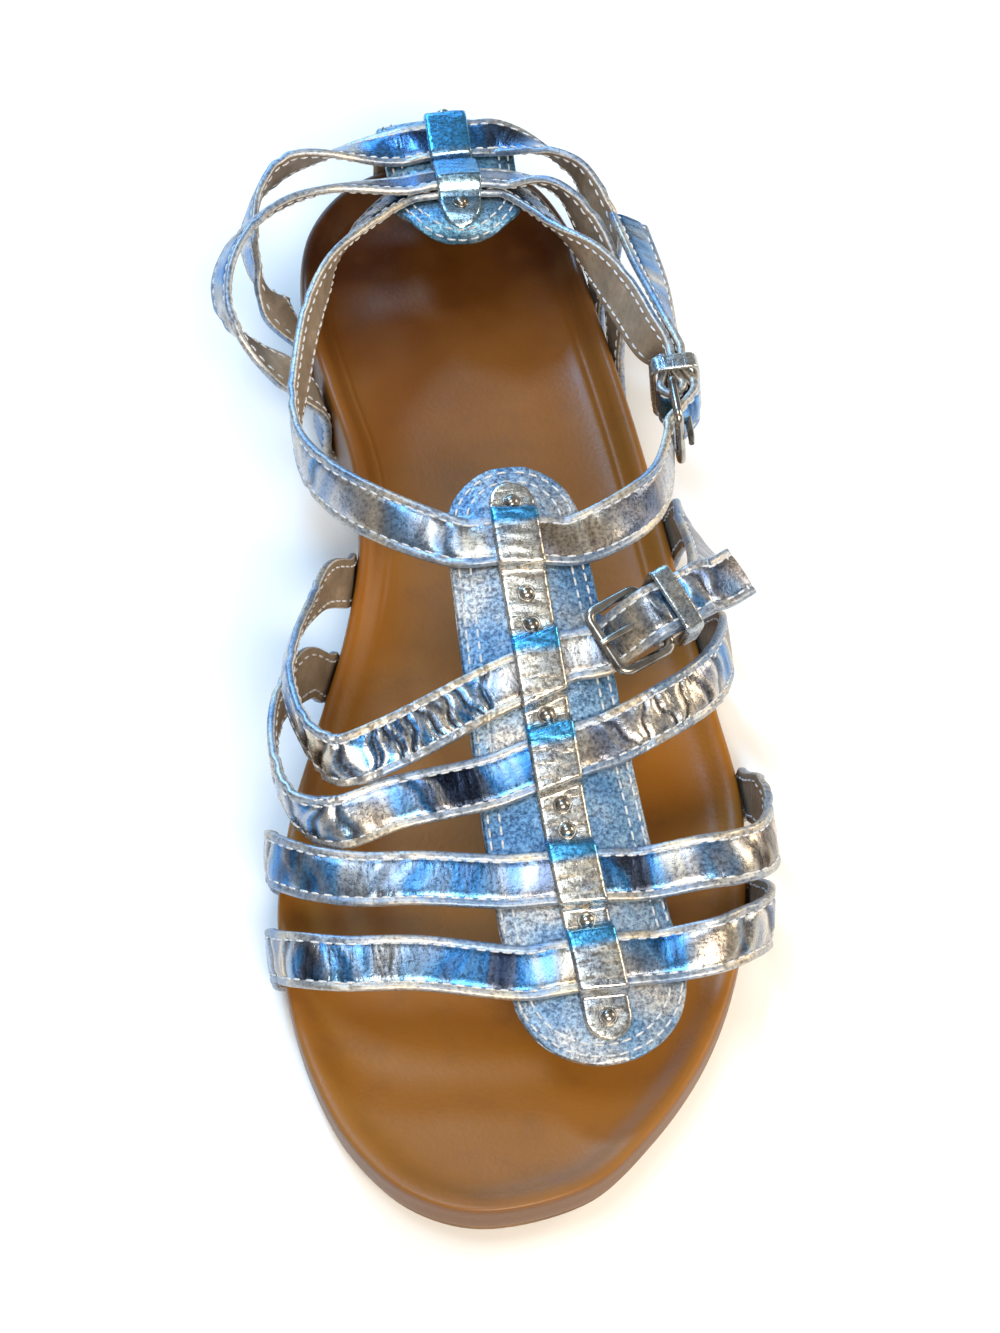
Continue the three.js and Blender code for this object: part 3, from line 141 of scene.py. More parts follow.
# Heights along the sole: (along, lift, arch, spring, rim).
SOLE_HEIGHTS = [
    (0, 1, 0, 0, 1), (0.24, 1, 0, 0, 0.95), (0.395, 0.7, 1, 0, 0.75), (0.515, 0.3, 0.5, 0, 0.55),
    (0.63, 0.03, 0, 0, 0.42), (0.82, 0, 0, 0, 0.38), (0.92, 0, 0, 0.4, 0.36), (1, 0, 0, 1, 0.34),
]

# The footbed's wall, rim and dish: (inset, level), level 0 underside, 1 bed, 2 rim.
FOOTBED_PROFILE = [
    (2.5, 0), (1.1, 0), (0.45, 0.03), (0.12, 0.14), (0.0, 0.4), (0.0, 0.8), (0.0, 1.25), (0.1, 1.6),
    (0.35, 1.84), (0.8, 1.96), (1.4, 2.0), (2.0, 1.985), (2.6, 1.92), (3.3, 1.8), (4.2, 1.6),
    (5.3, 1.38), (6.6, 1.21), (8.2, 1.11), (10.2, 1.05), (12.5, 1.015), (15.0, 1.0),
]

# Places hold shares: (across of half the ball width, along of the sole, up of the instep's
# height), and a free strap's rows also hold the lean of its face in degrees.
PANEL_LINE = [
    (0.205, 0.4475, 1.02), (0.238, 0.5195, 0.974), (0.3, 0.6215, 0.852), (0.342, 0.6835, 0.724),
    (0.41, 0.7725, 0.586), (0.475, 0.8385, 0.504), (0.525, 0.904, 0.43),
]
PANEL_BEND = 1 / 75
STAY_LINE = [
    (0.01, -0.0045, 0.61), (0.02, 0.001, 0.67), (0.03, 0.018, 0.7), (0.045, 0.051, 0.7),
    (0.055, 0.071, 0.69), (0.06, 0.084, 0.702), (0.075, 0.122, 0.8), (0.08, 0.136, 0.83),
    (0.08, 0.147, 0.832), (0.08, 0.1555, 0.796), (0.08, 0.1585, 0.744),
]
STAY_BASE_BEND = 1 / 34
STAY_TOP_BEND = 1 / 60
STAY_FLATTENS = (0.2, 0.5)

# Crossings over a panel: (share of the panel's length, skew in degrees, layers).
PANEL_CROSSINGS = {
    "ankle": (0.146, -6, 1), "instep": (0.366, 17, 1), "vamp": (0.51, 12, 1),
    "ball": (0.703, -7, 1), "toe": (0.843, -4, 1),
}
STAY_CROSSINGS = {"low": (0.582, 0, 1), "high": (0.809, 0, 2)}
PANEL_KEEPER = (0.04, 0.965)
STAY_KEEPER = (0.44, 0.955)
PANEL_RIVETS = [0.078, 0.24, 0.294, 0.44, 0.587, 0.629, 0.7755, 0.93]
STAY_RIVETS = [0.485, 0.697, 0.908]

# Faces turn away from a core: (its place, one over its spread each way).
FOOT_CORE = ((0.16, 0, 0.4), (1 / 44, 0, 1 / 26))
ANKLE_CORE = ((0.09, 0.27, 0), (1 / 40, 1 / 40, 0))

TOE_STRAP = {
    "inner": (0.775, 10),
    "rising": [
        (-0.79, 0.8, 0.38, 0), (-0.72, 0.8165, 0.51, 5), (-0.55, 0.8265, 0.56, 12),
        (-0.25, 0.829, 0.565, 15),
    ],
    "falling": [
        (0.98, 0.822, 0.55, 12), (1.08, 0.811, 0.515, 5), (1.18, 0.793, 0.43, 0),
        (1.215, 0.773, 0.35, 0),
    ],
    "outer": (0.739, 38),
}
BALL_STRAP = {
    "inner": (0.691, 15),
    "rising": [
        (-0.85, 0.713, 0.39, 0), (-0.795, 0.735, 0.52, 5), (-0.67, 0.7525, 0.59, 12),
        (-0.48, 0.763, 0.62, 15), (-0.22, 0.767, 0.64, 17),
    ],
    "falling": [
        (0.93, 0.761, 0.625, 12), (1.07, 0.755, 0.6, 5), (1.2, 0.739, 0.53, 0),
        (1.245, 0.713, 0.45, 0), (1.225, 0.678, 0.36, 0),
    ],
    "outer": (0.642, 45),
}
VAMP_STRAP = {
    "inner": (0.521, 40),
    "rising": [
        (-0.68, 0.548, 0.41, 5), (-0.775, 0.579, 0.49, 12), (-0.82, 0.62, 0.57, 26),
        (-0.8, 0.668, 0.63, 40), (-0.71, 0.709, 0.67, 50), (-0.55, 0.7235, 0.7, 42),
        (-0.32, 0.7155, 0.75, 26),
    ],
    "falling": [
        (0.82, 0.644, 0.765, 14), (0.97, 0.622, 0.735, 15), (1.06, 0.598, 0.68, 18),
        (1.12, 0.566, 0.59, 15), (1.13, 0.538, 0.48, 5),
    ],
    "outer": (0.509, 25),
}
INSTEP_STRAP = {
    "inner": (0.427, 45),
    "rising": [
        (-0.59, 0.472, 0.47, 5), (-0.685, 0.524, 0.61, 16), (-0.735, 0.573, 0.72, 32),
        (-0.73, 0.622, 0.785, 50), (-0.64, 0.667, 0.81, 58), (-0.53, 0.6885, 0.848, 50),
        (-0.33, 0.679, 0.873, 32),
    ],
    "buckle": (0.68, 0.597, 0.955),
    "turn": (30, 1, 8),
    "tail": [
        (1.05, 0.566, 1.015, 10), (1.16, 0.551, 0.99, 5),
    ],
}
INSTEP_BUCKLE_STRAP = {
    "outer": (0.405, 20),
    "falling": [
        (1.03, 0.546, 0.9, 10), (1.045, 0.506, 0.79, 5), (1.02, 0.462, 0.65, 0), (1, 0.427, 0.5, 0),
    ],
}
ANKLE_STRAP = {
    "buckle": (0.975, 0.383, 0.885),
    "turn": (93, -4, -8),
    "from_buckle": [
        (0.89, 0.296, 0.875, 22), (0.8, 0.252, 0.86, 26), (0.7, 0.208, 0.83, 14),
        (0.56, 0.163, 0.79, -25),
    ],
    "to_front": [
        (-0.46, 0.163, 0.79, -30), (-0.555, 0.207, 0.82, 0), (-0.63, 0.257, 0.83, 10),
        (-0.675, 0.311, 0.83, 10), (-0.7, 0.357, 0.845, 0), (-0.67, 0.401, 0.88, -12),
        (-0.56, 0.442, 0.935, -28), (-0.36, 0.4805, 0.985, -50),
    ],
    "to_buckle": [
        (0.72, 0.492, 0.985, -50), (0.86, 0.461, 0.95, -28),
    ],
    "tail": [
        (0.98, 0.272, 0.86, -25), (0.93, 0.212, 0.82, -45), (0.86, 0.148, 0.79, -50),
    ],
}
HIGH_HEEL_STRAP = {
    "inner": (0.264, 0),
    "rising": [
        (-0.74, 0.267, 0.56, 0), (-0.88, 0.259, 0.67, 0), (-1, 0.238, 0.765, 15),
        (-1.03, 0.205, 0.82, 30), (-0.96, 0.167, 0.85, 35), (-0.78, 0.131, 0.86, 35),
        (-0.55, 0.111, 0.85, 45),
    ],
    "falling": [
        (0.53, 0.113, 0.83, 30), (0.68, 0.148, 0.75, 0), (0.78, 0.193, 0.63, 0),
    ],
    "outer": (0.237, -20),
}
LOW_HEEL_STRAP = {
    "inner": (0.191, 0),
    "rising": [
        (-0.8, 0.188, 0.54, 0), (-0.885, 0.16, 0.605, 20), (-0.92, 0.123, 0.655, 30),
        (-0.875, 0.084, 0.7, 24), (-0.72, 0.055, 0.73, 20),
    ],
    "falling": [
        (0.62, 0.066, 0.72, 20), (0.71, 0.098, 0.69, 0), (0.76, 0.133, 0.6, 0),
    ],
    "outer": (0.166, -10),
}

# Creases across each strap: (share of its length, slant, depth, half width).
CREASES = {
    "toe_strap": [
        (0.13, 0.3, 0.35, 1.2), (0.19, -0.2, 0.3, 1.6), (0.27, 0.5, 0.18, 1.5),
        (0.74, -0.6, 0.25, 1.6), (0.8, 0.4, 0.35, 1.4), (0.86, -0.3, 0.35, 1.2),
    ],
    "ball_strap": [
        (0.12, 0.4, 0.35, 1.3), (0.17, -0.3, 0.35, 1.0), (0.24, 0.6, 0.22, 1.6),
        (0.33, -0.5, 0.16, 1.6), (0.72, 0.5, 0.25, 1.8), (0.79, -0.5, 0.4, 1.4),
        (0.85, 0.3, 0.35, 1.3),
    ],
    "vamp_strap": [
        (0.2, 0.3, 0.3, 1.4), (0.29, -0.3, 0.35, 1.2), (0.335, 0.3, 0.4, 1.0),
        (0.36, -0.3, 0.4, 0.9), (0.385, 0.4, 0.3, 1.1), (0.46, 0.5, 0.2, 1.2),
        (0.645, 0.5, 0.3, 1.0), (0.668, -0.4, 0.35, 0.8), (0.69, 0.3, 0.4, 0.8),
        (0.712, -0.3, 0.4, 0.7), (0.735, 0.4, 0.4, 0.8), (0.765, -0.3, 0.3, 1.0),
    ],
    "instep_strap": [
        (0.24, 0.4, 0.3, 1.3), (0.36, -0.3, 0.3, 1.3), (0.46, 0.3, 0.35, 1.2),
        (0.49, -0.2, 0.45, 0.9), (0.515, 0.25, 0.4, 0.8), (0.55, -0.3, 0.4, 0.7),
        (0.572, 0.25, 0.45, 0.6), (0.592, -0.3, 0.4, 0.6), (0.615, 0.3, 0.45, 0.7),
        (0.637, -0.2, 0.4, 0.6), (0.66, 0.35, 0.4, 0.7), (0.682, -0.3, 0.35, 0.6),
        (0.9, 0.3, 0.3, 0.8), (0.925, -0.2, 0.35, 0.7), (0.95, 0.3, 0.3, 0.8),
    ],
    "instep_buckle_strap": [(0.62, 0.3, 0.3, 1.3), (0.75, -0.3, 0.35, 1.2)],
    "ankle_strap": [
        (0.14, 0.3, 0.25, 1.5), (0.2, -0.2, 0.2, 1.5), (0.34, 0.3, 0.25, 1.6),
        (0.42, -0.3, 0.22, 1.5), (0.5, 0.3, 0.3, 1.6), (0.55, -0.3, 0.25, 1.3),
        (0.64, 0.4, 0.25, 1.4), (0.68, -0.3, 0.3, 1.2),
    ],
    "high_heel_strap": [
        (0.16, 0.3, 0.3, 1.4), (0.25, -0.3, 0.3, 1.6), (0.36, 0.3, 0.3, 1.4),
        (0.74, -0.3, 0.3, 1.4),
    ],
    "low_heel_strap": [
        (0.18, 0.3, 0.3, 1.4), (0.27, -0.3, 0.3, 1.4), (0.36, 0.2, 0.3, 1.2),
        (0.68, -0.3, 0.3, 1.4), (0.76, 0.3, 0.3, 1.3),
    ],
}

UP = np.array([0.0, 0.0, 1.0])


def unit(v):
    return v / np.linalg.norm(v)


def smooth(low, high, x):
    t = np.clip((x - low) / (high - low), 0, 1)
    return t * t * (3 - 2 * t)


def place(across, along, up):
    return np.array([
        across * BALL_WIDTH / 2, HEEL_BACK - along * SOLE_LENGTH, up * INSTEP_HEIGHT,
    ])


# Curves

def column(rows, index):
    """A smooth curve through one column of a table, which never overshoots its rows."""
    x = [row[0] for row in rows]
    y = [row[index] for row in rows]
    slopes = [(y[i + 1] - y[i]) / (x[i + 1] - x[i]) for i in range(len(x) - 1)]
    tangents = []
    for i in range(len(y)):
        before = slopes[max(0, i - 1)]
        after = slopes[min(len(slopes) - 1, i)]
        tangents.append(0 if before * after <= 0 else 2 * before * after / (before + after))

    def at(value):
        v = min(max(value, x[0]), x[-1])
        i = min(len(slopes) - 1, max(0, next(k for k in range(len(x)) if x[k] >= v) - 1))
        span = x[i + 1] - x[i]
        t = (v - x[i]) / span
        bow = t * (1 - t) * span
        blend = t * t * (3 - 2 * t)
        return y[i] + (y[i + 1] - y[i]) * blend + bow * (
            tangents[i] * (1 - t) - tangents[i + 1] * t)

    return at


lift, arch, spring, rim = (column(SOLE_HEIGHTS, index) for index in range(1, 5))


def along_of(y):
    return (HEEL_BACK - y) / SOLE_LENGTH


def underside_height(y):
    along = along_of(y)
    return arch(along) * ARCH_LIFT + spring(along) * TOE_SPRING


def joint_height(y):
    return underside_height(y) + OUTSOLE_THICKNESS


def bed_height(y):
    along = along_of(y)
    risen = lift(along) * (HEEL_BED_HEIGHT - BALL_BED_HEIGHT)
    return BALL_BED_HEIGHT + risen + spring(along) * TOE_SPRING


def rim_height(y):
    return bed_height(y) + rim(along_of(y)) * RIM_RISE


def level_height(y, level):
    """Height of a level of the footbed: 0 its underside, 1 its bed, 2 its rim."""
    foot = joint_height(y) + BED_GAP
    if level <= 1:
        return foot + (bed_height(y) - foot) * level
    return bed_height(y) + (rim_height(y) - bed_height(y)) * (level - 1)


def spline(points, closed=False, centripetal=True):
    """A Catmull-Rom curve through points, as a function of a share from 0 to 1."""
    pts = [np.asarray(p, float) for p in points]
    n = len(pts)

    def at(t):
        where = (n if closed else n - 1) * t
        i = int(math.floor(where))
        w = where - i
        if not closed and i >= n - 1:
            i, w = n - 2, 1.0
        p1, p2 = pts[i % n], pts[(i + 1) % n]
        p0 = pts[(i - 1) % n] if closed or i > 0 else 2 * pts[0] - pts[1]
        p3 = pts[(i + 2) % n] if closed or i + 2 < n else 2 * pts[-1] - pts[-2]
        if centripetal:
            gaps = [max(np.linalg.norm(b - a), 1e-6) ** 0.5
                    for a, b in ((p0, p1), (p1, p2), (p2, p3))]
            t1 = (p1 - p0) / gaps[0] - (p2 - p0) / (gaps[0] + gaps[1]) + (p2 - p1) / gaps[1]
            t2 = (p2 - p1) / gaps[1] - (p3 - p1) / (gaps[1] + gaps[2]) + (p3 - p2) / gaps[2]
            t1 = t1 * gaps[1]
            t2 = t2 * gaps[1]
        else:
            t1, t2 = (p2 - p0) / 2, (p3 - p1) / 2
        return (p1 + t1 * w + (-3 * p1 + 3 * p2 - 2 * t1 - t2) * w ** 2
                + (2 * p1 - 2 * p2 + t1 + t2) * w ** 3)

    return at


def travelled(points):
    """The distance along a line of points to each of them."""
    return np.concatenate([[0], np.cumsum(np.linalg.norm(np.diff(points, axis=0), axis=1))])


def sampled(rows, reach, want):
    """Rows of three numbers known at the distances reach, as they are at want."""
    return np.stack([np.interp(want, reach, rows[:, k]) for k in range(3)], -1)


def evenly(points, steps):
    """Points at even distances along a line of points."""
    points = np.asarray(points)
    reach = travelled(points)
    return sampled(points, reach, np.linspace(0, reach[-1], steps + 1))


def round_travel(ring):
    """The way onward at each point of a closed line."""
    return np.roll(ring, -1, axis=0) - np.roll(ring, 1, axis=0)


def oriented(p, travel, face):
    """A place with its own axes: t along the travel, n out of the face, w across."""
    t = unit(travel)
    n = unit(face - t * np.dot(face, t))
    return {"p": p, "t": t, "n": n, "w": np.cross(t, n)}


def turned_about(v, axis, degrees):
    a = math.radians(degrees)
    return (v * math.cos(a) + np.cross(axis, v) * math.sin(a)
            + axis * np.dot(axis, v) * (1 - math.cos(a)))


def stations_of(route, step=STEP):
    """Even stations along a route of (place, face) nodes, each with its distance s."""
    curve = spline([p for p, _ in route])
    faces = spline([f for _, f in route], centripetal=False)
    shares = np.linspace(0, 1, (len(route) - 1) * 30 + 1)
    points, looks = (np.array([at(t) for t in shares]) for at in (curve, faces))
    reach = travelled(points)
    want = np.linspace(0, reach[-1], max(2, int(round(reach[-1] / step))) + 1)
    p, f = (sampled(rows, reach, want) for rows in (points, looks))
    return [{**oriented(*row), "s": s} for *row, s in zip(p, np.gradient(p, axis=0), f, want)]


# The sole's edge

def sole_edge():
    """The sole's outline, inner side first, with its outward directions."""
    nodes = [(0, 0), *((-inner, along) for along, inner, _ in SOLE_SIDES), (TOE_ACROSS, 1),
             *((outer, along) for along, _, outer in reversed(SOLE_SIDES))]
    curve = spline([place(across * 2, along, 0) for across, along in nodes], closed=True)
    count = len(SOLE_SIDES) * 80
    fine = [curve(i / count) for i in range(count + 1)]
    half = count // 2
    p = np.concatenate([evenly(side, OUTLINE_STEPS)[:-1]
                        for side in (fine[:half + 1], fine[half:])])
    forward = round_travel(p)
    forward /= np.linalg.norm(forward, axis=1)[:, None]
    return p, np.stack([forward[:, 1], -forward[:, 0], np.zeros(len(p))], -1)


EDGE, EDGE_OUT = sole_edge()


def edge_at(side, along):
    """The place on the sole's edge at a share along it, with its outward and toeward ways."""
    y = HEEL_BACK - along * SOLE_LENGTH
    n = OUTLINE_STEPS
    order = [*range(n + 1)] if side == "inner" else [*range(n, 2 * n), 0]
    for a, b in zip(order, order[1:]):
        if (EDGE[a][1] - y) * (EDGE[b][1] - y) <= 0:
            share = (y - EDGE[a][1]) / (EDGE[b][1] - EDGE[a][1])
            p, out = (of[a] * (1 - share) + of[b] * share for of in (EDGE, EDGE_OUT))
            out = unit(out)
            forward = np.array([-out[1], out[0], 0])
            return p, out, -forward if forward[1] > 0 else forward
    raise ValueError(along)


# Routes

def root_route(side, along, slant):
    """A strap's tucked end: from under the footbed, round its edge and up its wall."""
    p, out, forward = edge_at(side, along)
    lean = math.tan(math.radians(slant))
    off = WALL_GAP + STRAP_THICKNESS / 2
    slope = (joint_height(p[1] + 1) - joint_height(p[1] - 1)) / 2
    down = unit(np.array([0, slope, -1.0]))

    def node(reach, rise, face):
        drift = max(0, rise - ROOT_STRAIGHT) * lean
        at = p + out * reach + forward * drift
        at[2] = joint_height(at[1]) + ROOT_GAP + STRAP_THICKNESS / 2 + rise
        return at, face

    edge_rise = rim_height(p[1]) - joint_height(p[1])
    return [
        node(-STRAP_TUCK, 0, down), node(-STRAP_TUCK / 2, 0, down), node(-ROOT_START, 0, down),
        node(off * ROOT_BEND[0], ROOT_BEND[1], out + down), node(off, ROOT_RISE, out),
        node(off + 0.1, edge_rise * 0.75, out),
    ]


def away_from(core, p):
    centre, spread = core
    return (p - place(*centre)) * np.array(spread) ** 2


def free_route(rows, core, before, after):
    """A strap's free run: its table's places, each face turned by the row's lean."""
    points = [place(*row[:3]) for row in rows]
    travel = np.gradient(np.array([before, *points, *after]), axis=0)[1:]
    nodes = []
    for p, t, row in zip(points, travel, rows):
        made = oriented(p, t, away_from(core, p))
        nodes.append((p, turned_about(made["n"], made["t"], row[3])))
    return nodes


def joined(core, *parts):
    """One route of parts in turn: ready nodes, and a table's rows for a free run."""
    route = []
    for part, following in zip(parts, [*parts[1:], []]):
        if len(part[0]) == 4:
            part = free_route(part, core, route[-1][0], [node[0] for node in following[:1]])
        route += part
    return route


class Panel:
    """A middle line with a width and a crosswise bend, measured by its own length."""

    def __init__(self, route, width_at, bend_at):
        self.stations = stations_of(route, PANEL_STEP)
        self.length = self.stations[-1]["s"]
        self.width_at = width_at
        self.bend_at = bend_at

    def at(self, share):
        where = min(max(share, 0), 1) * (len(self.stations) - 1)
        i = min(len(self.stations) - 2, int(where))
        a, b, k = self.stations[i], self.stations[i + 1], where - i
        return oriented(*(a[key] * (1 - k) + b[key] * k for key in ("p", "t", "n")))

    def over(self, share, across, out):
        """The place that far out of the panel, and the way its face looks there."""
        here, bend = self.at(share), self.bend_at(share)
        face = unit(here["n"] + here["w"] * across * bend)
        p = here["p"] + here["w"] * across - here["n"] * (across ** 2 * bend / 2)
        return p + face * out, face


STRAP_OVER_PANEL = PANEL_THICKNESS / 2 + LAYER_GAP + STRAP_THICKNESS / 2
LAYER_STEP = STRAP_THICKNESS + LAYER_GAP
KEEPER_OVER_PANEL = PANEL_THICKNESS / 2 + JOINT_GAP + KEEPER_THICKNESS / 2


def crossing_route(panel, crossing, layer, sign):
    """A strap's run over a panel, from one side (sign -1: inner) to the other."""
    at, skew, _ = crossing
    half = panel.width_at(at) / 2 + CROSSING_MARGIN
    nodes = []
    for k in CROSSING_NODES:
        across = k * half * sign
        shift = across * math.tan(math.radians(skew)) / panel.length
        nodes.append(panel.over(at + shift, across, STRAP_OVER_PANEL + layer * LAYER_STEP))
    return nodes


def panel_route():
    points = np.array([place(*row) for row in PANEL_LINE])
    return [(p, oriented(p, t, UP)["n"]) for p, t in zip(points, np.gradient(points, axis=0))]


def stay_route():
    """The heel stay's middle: tucked under the heel, up the wall, slumped forward."""
    off = WALL_GAP + PANEL_THICKNESS / 2
    back = HEEL_BACK
    bottom = joint_height(back) + ROOT_GAP + PANEL_THICKNESS / 2
    down, out = np.array([0, 0, -1.0]), np.array([0, 1.0, 0])

    def node(y, z, face):
        return np.array([0, y, z]), face

    root = [
        node(back - STRAP_TUCK, bottom, down), node(back - ROOT_START, bottom, down),
        node(back + off * ROOT_BEND[0], bottom + ROOT_BEND[1], out + down),
        node(back + off, bottom + ROOT_RISE, out),
        node(back + off, rim_height(back) - 1, out),
    ]
    line = np.array([root[-1][0], *(place(*row) for row in STAY_LINE)])
    travel = np.gradient(line, axis=0)
    return root + [(p, unit(np.array([0, t[2], -t[1]]))) for p, t in zip(line[1:], travel[1:])]


panel = Panel(
    panel_route(),
    lambda share: PANEL_TOP_WIDTH + (PANEL_TOE_WIDTH - PANEL_TOP_WIDTH) * share,
    lambda share: PANEL_BEND,
)
stay = Panel(
    stay_route(),
    lambda share: STAY_BASE_WIDTH + (STAY_TOP_WIDTH - STAY_BASE_WIDTH) * share,
    lambda share: STAY_BASE_BEND + (STAY_TOP_BEND - STAY_BASE_BEND) * smooth(
        *STAY_FLATTENS, share),
)


# Buckles

BAR = FRAME_LENGTH / 2 - WIRE / 2
FOLD_RADIUS = WIRE / 2 + LAYER_GAP + STRAP_THICKNESS / 2
FOLD_LAYER = STRAP_THICKNESS / 2 + LAYER_GAP / 2
PASS_UNDER = -FOLD_RADIUS
PASS_OVER = FOLD_RADIUS + STRAP_THICKNESS + LAYER_GAP
PASS_FLAT = FOLD_LAYER + STRAP_THICKNESS + LAYER_GAP


def buckle_frame(table, core):
    """A buckle's place and axes, from its strap's table."""
    p = place(*table["buckle"])
    heading, rise = map(math.radians, table["turn"][:2])
    made = oriented(p, np.array([
        math.cos(heading) * math.cos(rise), math.sin(heading) * math.cos(rise), math.sin(rise),
    ]), away_from(core, p))
    made["n"] = turned_about(made["n"], made["t"], table["turn"][2])
    made["w"] = np.cross(made["t"], made["n"])
    return made


def in_buckle(here, along, out, across=0.0):
    return here["p"] + here["t"] * along + here["n"] * out + here["w"] * across


def through_buckle(here):
    """A strap's run under the frame, over its bar and along the fold to the loop."""
    rows = [
        (-BAR - WIRE * 0.5, PASS_UNDER), (-BAR + WIRE * 0.8, PASS_UNDER * 0.9),
        (-WIRE * 0.4, PASS_OVER * 0.16), (BAR - WIRE, PASS_OVER * 0.96),
        (BAR + WIRE * 0.3, PASS_OVER), *((along, PASS_FLAT) for along in LOOP_RUN),
    ]
    return [(in_buckle(here, along, out), here["n"]) for along, out in rows]


def fold_route(here):
    """A strap's end folded round the frame's bar, its lower layer first."""
    def layer(along, sign):
        return in_buckle(here, along, FOLD_LAYER * sign), here["n"] * sign

    bar = in_buckle(here, BAR, 0)
    turns = [math.radians(degrees) for degrees in range(-90, 91, 30)]
    faces = [here["n"] * math.sin(a) - here["t"] * math.cos(a) for a in turns]
    return [layer(BAR + FOLD_RETURN, -1), layer(BAR + FOLD_RETURN / 2, -1),
            *((bar + face * FOLD_RADIUS, face) for face in faces),
            *(layer(along, 1) for along in LOOP_RUN)]


def whole_strap(table, over, crossing, layer, core):
    """A strap from the sole's inner edge, over a panel, to its outer edge."""
    return joined(core, root_route("inner", *table["inner"]), table["rising"],
                  crossing_route(over, crossing, layer, -1), table["falling"],
                  root_route("outer", *table["outer"])[::-1])


def instep_route(here):
    return joined(FOOT_CORE, root_route("inner", *INSTEP_STRAP["inner"]), INSTEP_STRAP["rising"],
                  crossing_route(panel, PANEL_CROSSINGS["instep"], 0, -1)[:4],
                  through_buckle(here), INSTEP_STRAP["tail"])


def instep_buckle_route(here):
    return joined(FOOT_CORE, fold_route(here), INSTEP_BUCKLE_STRAP["falling"],
                  root_route("outer", *INSTEP_BUCKLE_STRAP["outer"])[::-1])


def ankle_route(here):
    return joined(ANKLE_CORE, fold_route(here), ANKLE_STRAP["from_buckle"],
                  crossing_route(stay, STAY_CROSSINGS["high"], 0, 1), ANKLE_STRAP["to_front"],
                  crossing_route(panel, PANEL_CROSSINGS["ankle"], 0, -1),
                  ANKLE_STRAP["to_buckle"], through_buckle(here), ANKLE_STRAP["tail"])


# Meshes

# Material slots of a strap, a panel or a keeper
FACE, UNDER, CUT, THREADS, BAND = range(5)


class Build:
    """Collects faces in millimetres, with a material index and UVs in metres."""

    def __init__(self):
        self.vertices, self.faces, self.slots, self.uvs, self.creases = [], [], [], [], []
        self.count = 0

    def grid(self, points, slots, uv=None, closed_u=False, closed_v=False, flip=False):
        """Adds a grid of points [i][j]; slots is one material index, or one for each column."""
        rows, cols = points.shape[:2]
        start = self.count
        self.vertices.append(points.reshape(-1, 3))
        self.count += rows * cols
        for i in range(rows if closed_u else rows - 1):
            for j in range(cols if closed_v else cols - 1):
                i2, j2 = (i + 1) % rows, (j + 1) % cols
                corners = [(i, j), (i2, j), (i2, j2), (i, j2)]
                if flip:
                    corners.reverse()
                self.faces.append([start + a * cols + b for a, b in corners])
                self.slots.append(slots[j] if isinstance(slots, list) else slots)
                self.uvs += [uv(a + (rows if a < i else 0), b + (cols if b < j else 0))
                             if uv else (0.0, 0.0) for a, b in corners]

    def cap(self, ring, slot, flip=False):
        order = range(self.count, self.count + len(ring))
        self.vertices.append(np.asarray(ring))
        self.count += len(ring)
        self.faces.append([*reversed(order)] if flip else [*order])
        self.slots.append(slot)
        self.uvs += [(0.0, 0.0)] * len(ring)

    def tube(self, rings, slots, end_slot, uv=None, flip=False):
        """Adds a closed tube of rings, with a cap at each end."""
        rings = np.array(rings)
        self.grid(rings, slots, uv, closed_v=True, flip=flip)
        self.cap(rings[0], end_slot, flip)
        self.cap(rings[-1], end_slot, not flip)

    def piece(self, node, materials, slot):
        """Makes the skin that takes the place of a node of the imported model."""
        mesh = bpy.data.meshes.new(node + "_skin")
        mesh.from_pydata((np.concatenate(self.vertices) * MM).tolist(), [], self.faces)
        mesh.polygons.foreach_set("material_index", self.slots)
        mesh.polygons.foreach_set("use_smooth", [True] * len(self.faces))
        if self.creases:
            depths = np.zeros(self.count)
            depths[:len(self.creases)] = self.creases
            mesh.attributes.new("crease", "FLOAT", "POINT").data.foreach_set("value", depths)
        layer = mesh.uv_layers.new(name="UVMap")
        layer.data.foreach_set("uv", np.array(self.uvs, float).ravel())
        for material in materials:
            mesh.materials.append(material)
        mesh.validate()
        mesh.update()
        piece = bpy.data.objects.new(node + "_skin", mesh)
        bpy.context.scene.collection.objects.link(piece)
        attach(piece, "root")
        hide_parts(node)


def ring_of(centre, across, out, radius, sides, flat=1.0):
    """Points round a centre, from its way across towards its way out."""
    return [centre + across * (math.cos(a) * radius) + out * (math.sin(a) * radius * flat)
            for a in (2 * math.pi * k / sides for k in range(sides))]


def roundness(distance, radius):
    """How far a rounded edge has risen, from 0 to 1, at a distance inside it."""
    return math.sqrt(max(0.0, 1 - max(0.0, 1 - distance / radius) ** 2))


# Straps

def strap_section():
    """Across and out pairs round a strap: rolled edges, stitch grooves, a puffed middle."""
    h, f = STRAP_WIDTH / 2, STRAP_THICKNESS / 2
    side = [
        (h, -f * 0.55), (h + 0.02, -0.05), (h, f * 0.5), (h - 0.18, f * 0.86),
        (h - 0.45, f), (h - 0.9, f), (h - 1.2, f * 0.9), (h - STITCH_INSET, f * 0.74),
        (h - 1.85, f * 0.86), (h - 2.2, f * 1.02), (h - 2.8, f * 1.12), (h - 3.8, f * 1.17),
    ]
    top = side + [(0.0, f * 1.18)] + [(-x, y) for x, y in reversed(side)]
    low = [
        (-h + 0.25, -f * 0.88), (-h + 0.8, -f), (-h / 2, -f), (0, -f), (h / 2, -f),
        (h - 0.8, -f), (h - 0.25, -f * 0.88),
    ]
    band = [BAND] * 7
    face = [FACE] * (len(top) - 1 - 2 * len(band))
    return top + low, [*band, *face, *band, CUT, *[UNDER] * (len(low) - 1), CUT]


